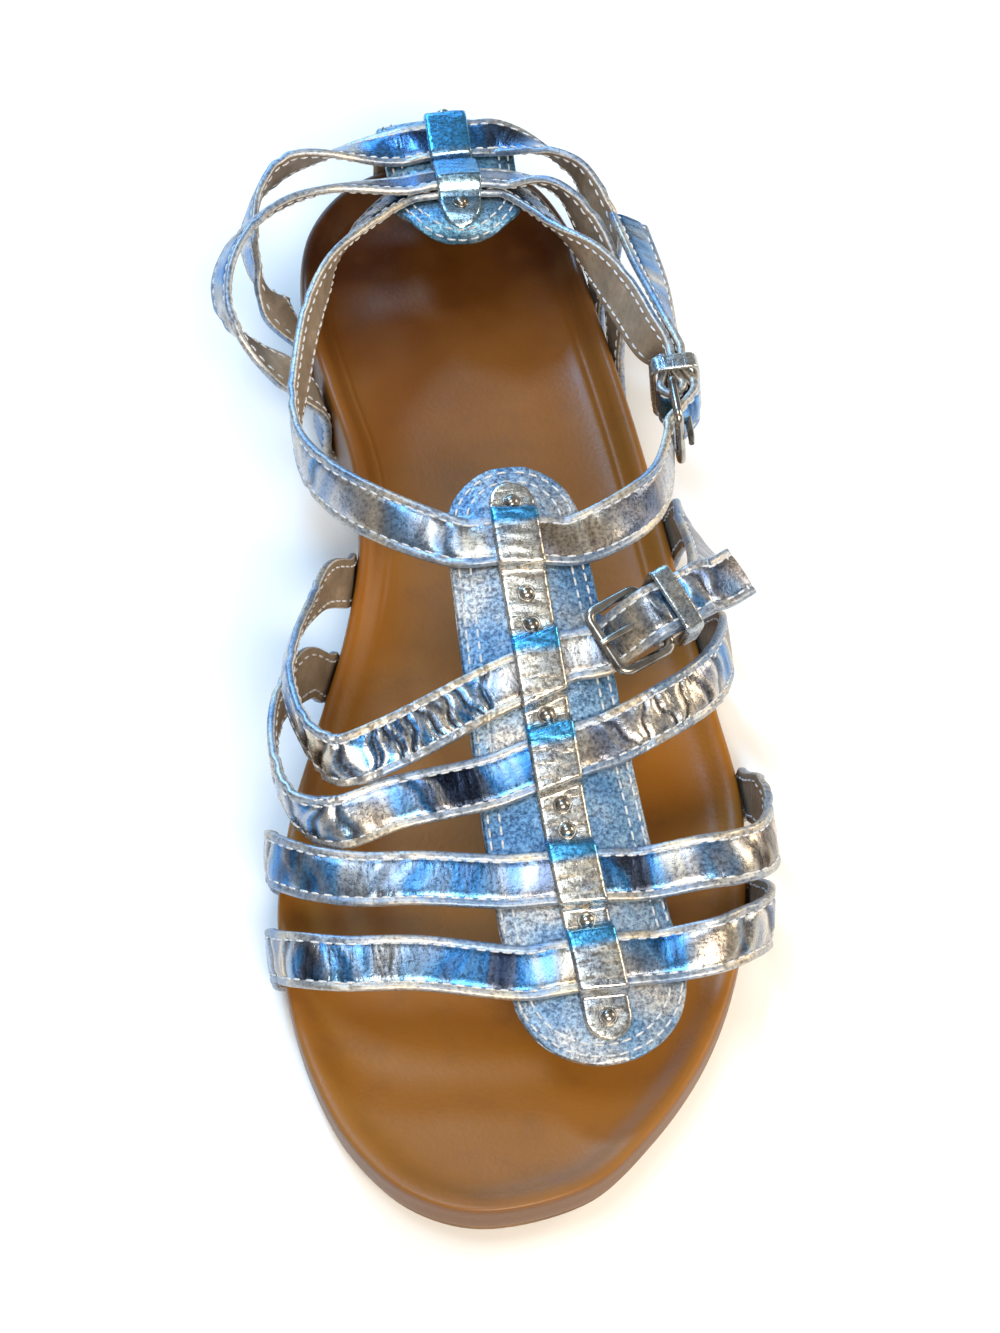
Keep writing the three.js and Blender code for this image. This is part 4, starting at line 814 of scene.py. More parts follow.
def crease_depth(name, s, x, length):
    """How far the face sinks at a place, from the strap's own table of creases."""
    depth = 0.0
    height, reach = CREASE_BANK
    for share, slant, deep, half in CREASES[name]:
        sway = CREASE_SWAY * math.sin(x * 1.1 + share * 40)
        q = (s - share * length - slant * x + sway) / half
        depth += deep * (math.exp(-q * q) - height * math.exp(-(abs(q) - reach) ** 2))
    return depth


def ribbon(build, stations, name):
    """A strap's skin, rippled and creased on its face and less so on its lining."""
    section, slots = strap_section()
    length = stations[-1]["s"]
    rings = []
    for here in stations:
        s, ring = here["s"], []
        for x, out in section:
            sink = crease_depth(name, s, x, length)
            ripple = STRAP_RIPPLE * math.sin(s * 1.9 + x * 1.3) * math.sin(s * 0.83 - x * 2.1 + 1)
            level = 1.0 if out > 0 else UNDER_SHARE
            move = (ripple - sink) * level if abs(x) < STRAP_WIDTH / 2 - 0.1 else -sink / 2
            build.creases.append(sink if out > 0 else 0.0)
            ring.append(here["p"] + here["w"] * x + here["n"] * (out + move))
        rings.append(ring)
    across = [x for x, _ in section + section[:1]]
    build.tube(rings, slots, CUT, lambda i, j: (stations[i]["s"] * MM, across[j] * MM))


def stitch(build, at, along, out, across, length=STITCH_LENGTH):
    """One short thread lying on a face, its ends dipping into it."""
    build.tube([ring_of(at + along * (share * length) + out * rise, across, out,
                        STITCH_RADIUS * size, STITCH_SIDES)
                for share, size, rise in STITCH_FORM], THREADS, THREADS, flip=True)


def strap_piece(name, route, tail=False):
    """A strap with stitches along both edges, on its face and lining, and across its tail."""
    stations = stations_of(route)
    build = Build()
    ribbon(build, stations, name)
    reach = [station["s"] for station in stations]
    seat = STRAP_THICKNESS / 2 * STITCH_SEAT
    run = reach[-1] - STITCH_MARGIN - (TAIL_MARGIN if tail else STITCH_MARGIN)
    for k in range(int(run / STITCH_PITCH)):
        s = STITCH_MARGIN + (k + 0.5) * STITCH_PITCH
        here = stations[min(len(stations) - 2, int(np.searchsorted(reach, s)))]
        t, n, w = here["t"], here["n"], here["w"]
        for side in (-1, 1):
            x = side * (STRAP_WIDTH / 2 - STITCH_INSET)
            sink = crease_depth(name, s, x, reach[-1])
            base = here["p"] + w * x
            stitch(build, base + n * (seat - sink), t, n, w)
            stitch(build, base - n * (STRAP_THICKNESS / 2 + sink * UNDER_SHARE), t, -n, -w)
    if tail:
        end = stations[-3]
        for k in range(-2, 3):
            at = end["p"] + end["w"] * (k * TAIL_STITCH["pitch"]) + end["n"] * seat
            stitch(build, at, end["w"], end["n"], -end["t"], TAIL_STITCH["length"])
    build.piece(name, STRAP_MATERIALS, "silver_leather")


# Panels and keepers

def strip_skin(build, strip, rows, columns, out_at):
    """A closed skin along a panel: rows of (share, half width), columns as shares of it."""
    rings, uvs = [], []
    for share, half in rows:
        places = [(half * k, sign) for sign in (1, -1) for k in columns[::sign]]
        rings.append([strip.over(share, x, out_at(share, x, half, sign))[0]
                      for x, sign in places])
        uvs.append([(share * strip.length * MM, x * MM) for x, _ in places + places[:1]])
    one_side = len(columns) - 1
    slots = [FACE] * one_side + [CUT] + [UNDER] * one_side + [CUT]
    build.tube(rings, slots, CUT, lambda i, j: uvs[i][j], flip=True)


def panel_half(strip, share, round_start):
    """Half width of a panel, with its round ends."""
    ends = roundness((1 - share) * strip.length, strip.width_at(1) / 2)
    if round_start:
        ends = min(ends, roundness(share * strip.length, strip.width_at(0) / 2))
    return strip.width_at(share) / 2 * ends


def panel_shares(strip, round_start):
    """Shares along a panel, closer together towards its round ends."""
    end = strip.width_at(1) / 2
    start = strip.width_at(0) / 2 if round_start else 0.0
    bow = 1 - np.cos((np.arange(14) + 0.12) / 14 * math.pi / 2)
    rows = max(2, int((strip.length - start - end) / PANEL_ROW_STEP))
    stops = [*(start * bow if round_start else []),
             *np.linspace(start, strip.length - end, rows + 1), *(strip.length - end * bow[::-1])]
    return [s / strip.length for s in stops]


def outline_places(strip, inset, round_start):
    """Places (across, share) and ways at even steps along a panel's inset outline."""
    start, end = strip.width_at(0) / 2, strip.width_at(1) / 2

    def bow(outer, centre, way, first, last, count):
        radius = outer - inset
        return [(-radius * math.cos(a), centre + way * radius * math.sin(a))
                for a in np.linspace(first, last, count)]

    quarter = math.pi / 2
    sides = [[(-start + inset, 10.0)], [(start - inset, 10.0)]]
    if round_start:
        sides = [bow(start, start, -1, quarter, 0, 24),
                 bow(start, start, -1, math.pi, quarter, 24)]
    line = sides[0] + bow(end, strip.length - end, 1, 0, math.pi, 48) + sides[1]
    fine = []
    for a, b in zip(line, line[1:]):
        steps = max(1, int(math.dist(a, b) / 0.2))
        fine += [(a[0] + (b[0] - a[0]) * k / steps, a[1] + (b[1] - a[1]) * k / steps)
                 for k in range(steps)]
    found, gone = [], 0.0
    for a, b in zip(fine, fine[1:]):
        gone += math.dist(a, b)
        if gone > STITCH_PITCH:
            gone -= STITCH_PITCH
            found.append((b[0], b[1] / strip.length, (b[0] - a[0], b[1] - a[1])))
    return found


def panel_piece(name, strip, round_start, stitch_rows):
    """A panel's skin with soft edges, and its rows of stitches."""
    deep, wide = PANEL_GROOVE

    def out_at(share, x, half, sign):
        inside = min(half - abs(x), min(share if round_start else 1, 1 - share) * strip.length)
        out = sign * PANEL_THICKNESS / 2 * roundness(inside, PANEL_EDGE)
        if sign < 0:
            return out
        groove = sum(deep * math.exp(-((inside - row) / wide) ** 2) for row in stitch_rows)
        ripple = math.sin(x * 0.9 + share * 31) * math.sin(share * 97 - x * 0.6)
        return out + PANEL_PUFF * smooth(2.0, 6.0, inside) + PANEL_RIPPLE * ripple - groove

    build = Build()
    rows = [(share, panel_half(strip, share, round_start))
            for share in panel_shares(strip, round_start)]
    columns = np.concatenate([np.linspace(-1, -0.9, 5)[:-1], np.linspace(-0.9, 0.9, 19),
                              np.linspace(0.9, 1, 5)[1:]])
    strip_skin(build, strip, rows, columns, out_at)
    for inset in stitch_rows:
        for across, share, (sideways, onward) in outline_places(strip, inset, round_start):
            here = strip.at(share)
            p, face = strip.over(share, across, PANEL_THICKNESS / 2 - 0.02)
            along = unit(here["w"] * sideways + here["t"] * onward)
            stitch(build, p, along, face, np.cross(along, face))
    build.piece(name, PANEL_MATERIALS, "silver_leather")


def keeper_rise(strip, crossings, share, x):
    """How far the keeper is lifted off its panel by the straps under it."""
    rise = 0.0
    for at, skew, layers in crossings.values():
        skew = math.radians(skew)
        half = STRAP_WIDTH / 2 / math.cos(skew) + 0.35
        gap = (share - at) * strip.length - x * math.tan(skew)
        foot = KEEPER_FOOT["behind" if gap < 0 else "ahead"]
        full = layers * LAYER_STEP + LAYER_GAP - JOINT_GAP + 0.12
        rise = max(rise, full * (1 - smooth(half - 0.1, half + foot, abs(gap))))
    return rise


def keeper_piece(name, strip, crossings, span, rivets, foil):
    """A keeper's skin: round ends, humps over the straps, dimples round the rivets."""
    length, radius = strip.length, KEEPER_WIDTH / 2
    start, end = span[0] * length, span[1] * length
    bow = radius * (1 - np.cos(np.linspace(0.15, 1.5, 7)))
    first, last = start + bow, end - bow[::-1]
    inner = [s for s in np.arange(start, end, KEEPER_STEP) if first[-1] < s < last[0]]
    rows = [(s / length, radius * roundness(min(s - start, end - s), radius))
            for s in (*first, *inner, *last)]

    def out_at(share, x, half, sign):
        s = share * length
        edge = roundness(half - abs(x), KEEPER_EDGE)
        out = (KEEPER_OVER_PANEL + keeper_rise(strip, crossings, share, x)
               + sign * KEEPER_THICKNESS / 2 * edge)
        if sign < 0:
            return out
        near = min(abs(s - rivet * length) for rivet in rivets)
        dimple = KEEPER_DIMPLE * math.exp(-(near / 1.6) ** 2 - (x / 2.2) ** 2)
        wrinkle = KEEPER_WRINKLE * math.sin(s * 2.3 + math.sin(x * 0.8) * 1.5)
        return out + wrinkle - dimple + 0.1 * edge

    build = Build()
    columns = np.array([-1, -0.985, -0.94, -0.86, -0.74, -0.5, -0.25, 0, 0.25, 0.5, 0.74, 0.86,
                        0.94, 0.985, 1])
    strip_skin(build, strip, rows, columns, out_at)
    build.piece(name, [foil, LINING, RAW], "silver_leather")


# Hardware

def rivet_piece(name, strip, share):
    """A dome rivet with a low rim round it."""
    r = RIVET_RADIUS
    profile = [(0.02, -0.3), (r, -0.3), (r * 1.02, 0.05), (r * 0.97, 0.22), (r * 0.86, 0.28),
               (r * 0.78, 0.2), (r * 0.74, 0.24)]
    profile += [(r * 0.74 * math.cos(a), 0.24 + RIVET_HEIGHT * 0.78 * math.sin(a))
                for a in np.linspace(0.12, math.pi / 2 - 0.02, 8)]
    base, face = strip.over(share, 0, KEEPER_OVER_PANEL + KEEPER_THICKNESS / 2 - 0.05)
    side = unit(np.cross(face, np.array([1.0, 0.3, 0.2])))
    other = np.cross(face, side)
    build = Build()
    build.tube([ring_of(base + face * out, side, other, radius, 24) for radius, out in profile],
               FACE, FACE)
    build.piece(name, [NICKEL], "antique_nickel")


def rounded_path(width, length, radius, steps=8):
    """A closed rounded rectangle as (across, along) pairs."""
    x, y = width / 2 - radius, length / 2 - radius
    path = []
    for cx, cy, start in ((x, -y, -90), (x, y, 0), (-x, y, 90), (-x, -y, 180)):
        turns = [math.radians(start + 90 * k / steps) for k in range(steps + 1)]
        path += [(cx + radius * math.cos(a), cy + radius * math.sin(a)) for a in turns]
    return path


def buckle_piece(name, here):
    """A frame of bent wire, a little flattened."""
    path = rounded_path(STRAP_WIDTH + FRAME_SIDE_GAP * 2 + WIRE, FRAME_LENGTH - WIRE,
                        FRAME_CORNER)
    points = np.array([in_buckle(here, y, 0, x) for x, y in path])
    rings = [ring_of(p, unit(np.cross(t, here["n"])), here["n"], WIRE / 2, 14, 0.9)
             for p, t in zip(points, round_travel(points))]
    build = Build()
    build.grid(np.array(rings), FACE, closed_u=True, closed_v=True)
    build.piece(name, [NICKEL], "antique_nickel")


def prong_piece(name, here):
    """A tapered prong, hooked round the frame's bar."""
    hook = WIRE / 2 + PRONG_RADIUS + JOINT_GAP
    rows = [
        (BAR + hook * 0.75, -hook * 0.62), (BAR + hook, hook * 0.2),
        (BAR + hook * 0.45, hook * 0.92), (BAR - hook * 0.6, hook * 1.05), (0, hook * 1.05),
        (-BAR, hook * 1.02), (-BAR - hook * 0.57, hook * 0.95),
    ]
    curve = spline([in_buckle(here, along, out) for along, out in rows])
    shares = np.linspace(0, 1, 48)
    points = np.array([curve(t) for t in shares])
    rings = [ring_of(p, here["w"], np.cross(here["w"], unit(t)),
                     PRONG_RADIUS * (1.0 - 0.35 * smooth(0.5, 1.0, share)), 12)
             for share, p, t in zip(shares, points, np.gradient(points, axis=0))]
    build = Build()
    build.tube(rings, FACE, FACE)
    build.piece(name, [NICKEL], "antique_nickel")


def loop_piece(name, here):
    """A leather loop round both layers of the strap, behind the buckle."""
    low = -(FOLD_LAYER + STRAP_THICKNESS / 2 + LOOP_GAP)
    high = PASS_FLAT + STRAP_THICKNESS / 2 + LOOP_GAP
    path = rounded_path(STRAP_WIDTH + LOOP_GAP * 2 + LOOP_THICKNESS,
                        high - low + LOOP_THICKNESS, LOOP_CORNER, 6)
    middle = (high + low) / 2
    h, f = LOOP_WIDTH / 2, LOOP_THICKNESS / 2
    face = [(-h, 0), (-h + 0.12, f * 0.8), (-h + 0.5, f * 1.1), (-h + 1.0, f), (0, f * 1.15),
            (h - 1.0, f), (h - 0.5, f * 1.1), (h - 0.12, f * 0.8)]
    section = [*face, (h, 0), (h - 0.2, -f * 0.9), (0, -f), (-h + 0.2, -f * 0.9)]
    points = np.array([in_buckle(here, LOOP_PLACE, middle + y, x) for x, y in path])
    rings = []
    for p, t in zip(points, round_travel(points)):
        outward = unit(np.cross(here["t"], t))
        if np.dot(outward, p - in_buckle(here, LOOP_PLACE, middle)) < 0:
            outward = -outward
        rings.append([p + here["t"] * x + outward * y for x, y in section])
    reach = [*travelled(points), travelled(points)[-1] + 1.0]
    build = Build()
    build.grid(np.array(rings), [FACE] * len(face) + [UNDER] * (len(section) - len(face)),
               lambda i, j: (reach[i] * MM, section[j % len(section)][0] * MM),
               closed_u=True, closed_v=True)
    build.piece(name, [LOOP_FOIL, LINING], "silver_leather")


# Footbed and outsole

def edge_ring(inset, height):
    """The sole's outline moved in by an inset, each point at its own height."""
    moved = EDGE - EDGE_OUT * inset
    moved[:, 2] = [height(y) for y in moved[:, 1]]
    return moved


def bed_fill(ring, height, columns=14):
    """Rows across the bed from the inner half of the last ring to its outer half."""
    n = len(ring)
    rows = []
    for i in range(1, n // 2):
        a, b = ring[i], ring[n - i]
        line = [a * (1 - k / columns) + b * (k / columns) for k in range(columns + 1)]
        for p in line[1:-1]:
            p[2] = height(p[1])
        rows.append(line)
    return np.array(rows)


def footbed_piece():
    """Underside, wall, rim and dished bed, with a fine raised line along the waist."""
    profile = spline([(x, y, 0) for x, y in FOOTBED_PROFILE])
    rings = []
    for t in np.linspace(0, 1, 120):
        inset, level, _ = profile(t)
        ring = edge_ring(inset, lambda y: level_height(y, level))
        line = 0.3 * math.exp(-((inset - 6.0) / 0.45) ** 2)
        along = along_of(ring[:, 1])
        ring[:, 2] += line * smooth(0.16, 0.24, along) * (1 - smooth(0.42, 0.5, along))
        rings.append(ring)
    build = Build()
    build.grid(np.array(rings), FACE, closed_v=True)
    last = rings[-1]
    build.grid(bed_fill(last, lambda y: level_height(y, 1.0)), FACE)
    for k in (0, len(last) // 2):
        build.cap([last[k - 1], last[k], last[k + 1]], FACE)
    build.grid(bed_fill(rings[0], lambda y: level_height(y, 0.0), 4), FACE, flip=True)
    build.piece("footbed", [FOOTBED], "footbed_brown")


def outsole_piece():
    """The thin sole with its softly rounded edge."""
    edge = [(1.0, 0), (0.45, 0.12), (0.1, 0.5), (0, 1.0), (0, 2.2), (0.1, 2.8), (0.5, 3.0)]
    rings = [edge_ring(inset, lambda y: underside_height(y) + rise) for inset, rise in [
        (8, 0), *((OUTSOLE_INSET + back, rise) for back, rise in edge), (8, 3.0)]]
    build = Build()
    build.grid(np.array(rings), FACE, closed_v=True)
    build.grid(bed_fill(rings[0], underside_height, 8), FACE, flip=True)
    build.grid(bed_fill(rings[-1], joint_height, 4), FACE)
    build.piece("outsole", [RUBBER], "rubber_sole")


# Materials

class Shader:
    """A node material with short helpers for its procedural patterns."""

    def __init__(self, name):
        self.material = bpy.data.materials.new(name)
        self.material.use_nodes = True
        self.tree = self.material.node_tree
        self.place = self.node("ShaderNodeTexCoord").outputs

    def feed(self, socket, value):
        """Links a socket to another one, or sets its own value."""
        if isinstance(value, bpy.types.NodeSocket):
            self.tree.links.new(value, socket)
        elif socket.type == "RGBA" and value is not None:
            socket.default_value = (*value, 1)
        elif value is not None:
            socket.default_value = value

    def node(self, kind, **values):
        """A new node; the values are its settings or, by name, its inputs."""
        made = self.tree.nodes.new(kind)
        for key, value in values.items():
            if hasattr(made, key):
                setattr(made, key, value)
            else:
                self.feed(made.inputs[key.replace("_", " ")], value)
        return made

    def axis(self, source, letter):
        return self.node("ShaderNodeSeparateXYZ", Vector=self.place[source]).outputs[letter]

    def stretched(self, scale):
        made = self.node("ShaderNodeMapping", Scale=scale, Vector=self.place["UV"])
        return made.outputs["Vector"]

    def noise(self, scale, detail=4.0, roughness=0.6, vector=None, distortion=0.0):
        return self.node("ShaderNodeTexNoise", Scale=scale, Detail=detail, Roughness=roughness,
                         Distortion=distortion,
                         Vector=vector or self.place["Object"]).outputs["Fac"]

    def cells(self, scale):
        return self.node("ShaderNodeTexVoronoi", Scale=scale,
                         Vector=self.place["Object"]).outputs["Distance"]

    def ramp(self, source, *stops):
        made = self.node("ShaderNodeValToRGB", Fac=source)
        elements = made.color_ramp.elements
        while len(elements) < len(stops):
            elements.new(0.5)
        for element, (at, colour) in zip(elements, stops):
            element.position = at
            element.color = (*colour, 1)
        return made.outputs["Color"]

    def span(self, source, low, high, from_low=0.0, from_high=1.0):
        """The source's range from_low to from_high, spread and clamped over low to high."""
        return self.node("ShaderNodeMapRange", Value=source, From_Min=from_low,
                         From_Max=from_high, To_Min=low, To_Max=high).outputs["Result"]

    def maths(self, operation, *values):
        made = self.node("ShaderNodeMath", operation=operation)
        for socket, value in zip(made.inputs, values):
            self.feed(socket, value)
        return made.outputs["Value"]

    def mix(self, factor, a, b, blend="MIX"):
        """Colour a turned towards b by a factor, or blended with it."""
        made = self.node("ShaderNodeMix", data_type="RGBA", blend_type=blend)
        colours = [socket for socket in made.inputs if socket.type == "RGBA"]
        for socket, value in zip([made.inputs[0], *colours], (factor, a, b)):
            self.feed(socket, value)
        return next(socket for socket in made.outputs if socket.type == "RGBA")

    def times(self, share, a, b):
        return self.mix(share, a, b, "MULTIPLY")

    def bump(self, height, strength, distance, after=None):
        return self.node("ShaderNodeBump", Strength=strength, Distance=distance, Height=height,
                         Normal=after).outputs["Normal"]

    def finish(self, colour, roughness, normal=None, **numbers):
        inputs = self.tree.nodes["Principled BSDF"].inputs
        values = {"Base Color": colour, "Roughness": roughness, "Normal": normal, **numbers}
        for key, value in values.items():
            self.feed(inputs[key.replace("_", " ")], value)
        return self.material


def silver_leather(name):
    """Foil-faced leather: fine grain and crosswise wrinkles, with painted reflection in blue and
    tan patches along the strap, and painted shade and highlight in its folds and creases.
    """
    s = Shader(name)
    drawn = s.stretched((1.0, 0.3, 1.0))
    x, y = s.axis("Object", "X"), s.axis("Object", "Y")
    # Painted reflection: these masks push the ramp towards its blue stops over most of the
    # forefoot, towards tan on the right side and towards blue at the heel.
    blue_left_reflection = s.maths("MULTIPLY", s.span(x, 0.08, -0.2, -0.044, -0.026),
                        s.span(y, 1.0, 0.0, -0.142, -0.122))
    tan_right_reflection = s.maths("MULTIPLY", s.span(x, 0.0, 0.32, 0.006, 0.045),
                        s.span(y, 1.0, 0.0, -0.08, -0.06))
    sway = s.span(s.noise(30, 2.0, 0.5), -0.12, 0.12, 0.3, 0.7)
    reflection_patch = s.span(s.noise(64, 3.0, 0.5, drawn, 0.5), 0.06, 0.94, 0.28, 0.72)
    heelward_reflection = s.span(y, 0.0, -0.26, -0.055, 0.0)
    side = s.maths("ADD", blue_left_reflection, tan_right_reflection)
    # The ramp's navy, blue, cream and tan stops are painted reflection of the surroundings on the
    # silver foil; the patch noise spreads them in patches along the strap.
    base = s.ramp(
        s.maths("ADD", s.maths("ADD", reflection_patch, side), s.maths("ADD", sway, heelward_reflection)),
        (0.04, (0.02, 0.03, 0.06)), (0.18, (0.08, 0.1, 0.15)), (0.3, (0.04, 0.19, 0.46)),
        (0.42, (0.15, 0.3, 0.5)), (0.54, (0.3, 0.3, 0.3)), (0.66, (0.66, 0.57, 0.44)),
        (0.78, (0.34, 0.265, 0.19)), (1.0, (0.1, 0.075, 0.06)))
    # Painted reflection: more blue in scattered patches.
    bluer = s.mix(s.span(s.noise(60, 2.0, 0.5), 0.0, 0.4, 0.42, 0.66), base, (0.09, 0.3, 0.66))
    speck = s.noise(1500, 3.0, 0.7)
    speckled = s.times(0.65, bluer, s.ramp(
        speck, (0.34, (0.34, 0.34, 0.38)), (0.48, (0.86, 0.86, 0.88)), (0.6, (1.08, 1.08, 1.06))))
    fold = s.noise(560, 3.0, 0.55, drawn, 0.9)
    where = s.span(s.noise(48, 2.0, 0.5), 0.0, 1.0, 0.46, 0.62)
    # Painted shade in the troughs of the fine folds and painted highlight on their crests, in
    # patches chosen by a noise mask.
    painted_fold_shading = s.mix(where, (1.0, 1.0, 1.0), s.ramp(
        fold, (0.36, (0.22, 0.19, 0.17)), (0.5, (0.92, 0.92, 0.92)), (0.62, (1.25, 1.2, 1.1))))
    # Painted shade darkens the face down into each crease, and a painted highlight turns the raised
    # banks beside it cream.
    crease = s.node("ShaderNodeAttribute", attribute_name="crease").outputs["Fac"]
    colour = s.mix(s.span(crease, 0.0, 0.85, 0.04, 0.3), s.times(0.8, speckled, painted_fold_shading),
                   (0.06, 0.05, 0.045))
    colour = s.mix(s.span(crease, 0.5, 0.0, -0.2, -0.02), colour, (0.8, 0.7, 0.55))
    low = s.bump(s.maths("MULTIPLY", fold, where), 0.35, 0.0008)
    soft = s.bump(s.noise(150, 2.0, 0.5, drawn, 0.4), 0.35, 0.0012, low)
    return s.finish(colour, s.span(speck, 0.2, 0.36, 0.35, 0.65),
                    s.bump(speck, 0.3, 0.0002, soft), Metallic=0.9, Specular_IOR_Level=0.5)


def keeper_foil(name, strip, crossings, reach, blue):
    """A keeper's smooth foil with painted reflection: warm tan tones, a blue tint, and a blue band
    where it climbs over a strap.
    """
    s = Shader(name)
    speck = s.noise(1300, 3.0, 0.7)
    # Painted reflection: the tan tones are warm light mirrored in the foil, and the blue share
    # tints it like sky.
    toned = s.mix(blue, s.ramp(
        s.noise(130, 2.0, 0.5), (0.34, (0.34, 0.34, 0.36)), (0.5, (0.56, 0.51, 0.44)),
        (0.64, (0.74, 0.64, 0.5))), (0.15, 0.34, 0.5))
    sway = s.span(s.noise(240, 2.0, 0.5), -0.0006, 0.0006)
    share = s.span(s.maths("ADD", s.axis("UV", "X"), sway), 0.0, 1.0, 0.0, strip.length * MM)
    # Painted blue reflection on each slope where the keeper climbs over a strap.
    off, on, edge = (0, 0, 0), (1, 1, 1), 0.7 / strip.length
    painted_reflection_bands = []
    for at, skew, _ in sorted(crossings.values()):
        foot = at - STRAP_WIDTH / 2 / math.cos(math.radians(skew)) / strip.length
        first, last = foot - KEEPER_FOOT["behind"] / strip.length, foot + reach / strip.length
        painted_reflection_bands += [(first - edge, off), (first + edge, on), (last - edge, on), (last + edge, off)]
    if painted_reflection_bands:
        toned = s.mix(s.ramp(share, *painted_reflection_bands), toned, (0.08, 0.36, 0.68))
    dots = s.ramp(speck, (0.34, (0.55, 0.52, 0.52)), (0.48, (0.94, 0.94, 0.94)),
                  (0.6, (1.1, 1.1, 1.1)))
    low = s.bump(s.noise(700, 3.0, 0.55, s.stretched((1.0, 0.2, 1.0)), 0.6), 0.3, 0.0006)
    return s.finish(s.times(0.8, toned, dots), s.span(speck, 0.18, 0.34, 0.35, 0.65),
                    s.bump(speck, 0.25, 0.0002, low), Metallic=0.95)


def grainy_leather(name):
    """The panels' coarser foil: grey with pale and dark specks; its blue cast, stronger at the
    heel, is painted reflection.
    """
    s = Shader(name)
    speck = s.noise(1350, 4.0, 0.72)
    # Painted reflection: the blue stops tint the grey foil like sky, and the next mix turns it
    # bluer towards the heel end.
    base = s.ramp(s.noise(70, 3.0, 0.55), (0.32, (0.11, 0.24, 0.42)), (0.43, (0.19, 0.33, 0.5)),
                  (0.53, (0.34, 0.42, 0.5)), (0.64, (0.55, 0.53, 0.5)))
    base = s.mix(s.span(s.axis("Object", "Y"), 0.0, 0.6, -0.07, -0.03), base, (0.1, 0.33, 0.52))
    dots = s.ramp(speck, (0.36, (0.18, 0.2, 0.26)), (0.46, (0.52, 0.55, 0.62)),
                  (0.54, (0.95, 0.96, 0.98)), (0.62, (1.25, 1.25, 1.2)))
    low = s.bump(s.noise(240, 3.0, 0.55), 0.25, 0.0008)
    return s.finish(s.times(0.92, base, dots), s.span(speck, 0.5, 0.28, 0.35, 0.65),
                    s.bump(speck, 0.55, 0.00035, low), Metallic=0.85)


def silver_trim(name):
    """The pale stitched band along both edges of a strap."""
    s = Shader(name)
    speck = s.noise(1300, 3.0, 0.7)
    base = s.ramp(s.noise(75, 2.0, 0.5), (0.36, (0.19, 0.28, 0.42)), (0.5, (0.34, 0.37, 0.41)),
                  (0.64, (0.52, 0.46, 0.37)))
    dots = s.ramp(speck, (0.35, (0.45, 0.45, 0.5)), (0.5, (0.95, 0.95, 0.95)),
                  (0.6, (1.2, 1.2, 1.2)))
    return s.finish(s.times(0.85, base, dots), s.span(speck, 0.28, 0.5, 0.3, 0.7),
                    s.bump(speck, 0.4, 0.0002), Metallic=0.7)


def plain(name, pattern, stops, rough, relief, grain=None, **numbers):
    """A material with one cloudy pattern, and a finer grain for its relief if it has one."""
    s = Shader(name)
    cloud = s.noise(*pattern)
    return s.finish(s.ramp(cloud, *stops), s.span(cloud, *rough),
                    s.bump(s.noise(*grain) if grain else cloud, *relief), **numbers)


def lining_leather(name):
    s = Shader(name)
    grain = s.noise(900, 4.0, 0.65)
    colour = s.ramp(s.noise(140, 5.0, 0.75), (0.3, (0.17, 0.13, 0.095)),
                    (0.55, (0.27, 0.21, 0.15)), (0.75, (0.4, 0.33, 0.25)))
    return s.finish(colour, s.span(grain, 0.5, 0.75), s.bump(grain, 0.5, 0.0003))


def footbed_leather(name):
    """Smooth brown moulding: warmer at the toes, with painted shade that darkens the heel and the
    faces that turn away from upwards.
    """
    s = Shader(name)
    # Painted shade: the ramp along the length grows very dark towards the heel end.
    base = s.ramp(
        s.span(s.axis("Object", "Y"), 0.0, 1.0, -0.213, 0.03),
        (0.0, (0.21, 0.085, 0.014)), (0.25, (0.33, 0.125, 0.010)), (0.5, (0.31, 0.112, 0.008)),
        (0.72, (0.19, 0.064, 0.006)), (0.88, (0.058, 0.015, 0.001)), (1.0, (0.045, 0.012, 0.001)))
    cloud = s.noise(28, 3.0, 0.5)
    mottled = s.mix(s.span(cloud, 0.0, 0.3, 0.4, 0.7), base, (0.32, 0.14, 0.02))
    worn = s.span(s.noise(120, 4.0, 0.6), 0.0, 0.35, 0.5, 0.8)
    colour = s.mix(worn, mottled, (0.13, 0.055, 0.018))
    # Painted shade: faces that turn away from upwards, such as the wall, are darkened.
    wall = s.span(s.axis("Normal", "Z"), 0.75, 0.0, 0.1, 0.75)
    relief = s.bump(s.noise(2200, 3.0, 0.6), 0.2, 0.00012, s.bump(s.cells(1100), 0.16, 0.00018))
    return s.finish(s.mix(wall, colour, (0.1, 0.036, 0.005)),
                    s.span(cloud, 0.34, 0.46, 0.3, 0.7), relief, Specular_IOR_Level=0.42)


def floor_white(name):
    s = Shader(name)
    colour = s.ramp(s.noise(6, 2.0, 0.5), (0.3, (0.9, 0.9, 0.9)), (0.7, (0.93, 0.93, 0.93)))
    return s.finish(colour, 0.8, Specular_IOR_Level=0.1)


SILVER = silver_leather("silver_strap")
# The last number of each keeper foil is its share of painted blue reflection.
INSTEP_FOIL = keeper_foil("instep_keeper_foil", panel, PANEL_CROSSINGS, 2.4, 0.12)
HEEL_FOIL = keeper_foil("heel_keeper_foil", stay, STAY_CROSSINGS, 9.5, 0.75)
LOOP_FOIL = keeper_foil("loop_foil", panel, {}, 0.0, 0.3)
GRAINY = grainy_leather("silver_panel")
TRIM = silver_trim("silver_trim")
LINING = lining_leather("strap_lining")
RAW = plain("strap_raw_edge", (1300, 3.0, 0.7),
            [(0.35, (0.34, 0.33, 0.32)), (0.6, (0.7, 0.67, 0.62))],
            (0.4, 0.7), (0.5, 0.0002), Metallic=0.3)
THREAD = plain("pale_thread", (2600, 2.0, 0.5),
               [(0.35, (0.42, 0.45, 0.5)), (0.65, (0.72, 0.73, 0.74))],
               (0.45, 0.65), (0.5, 0.0001))
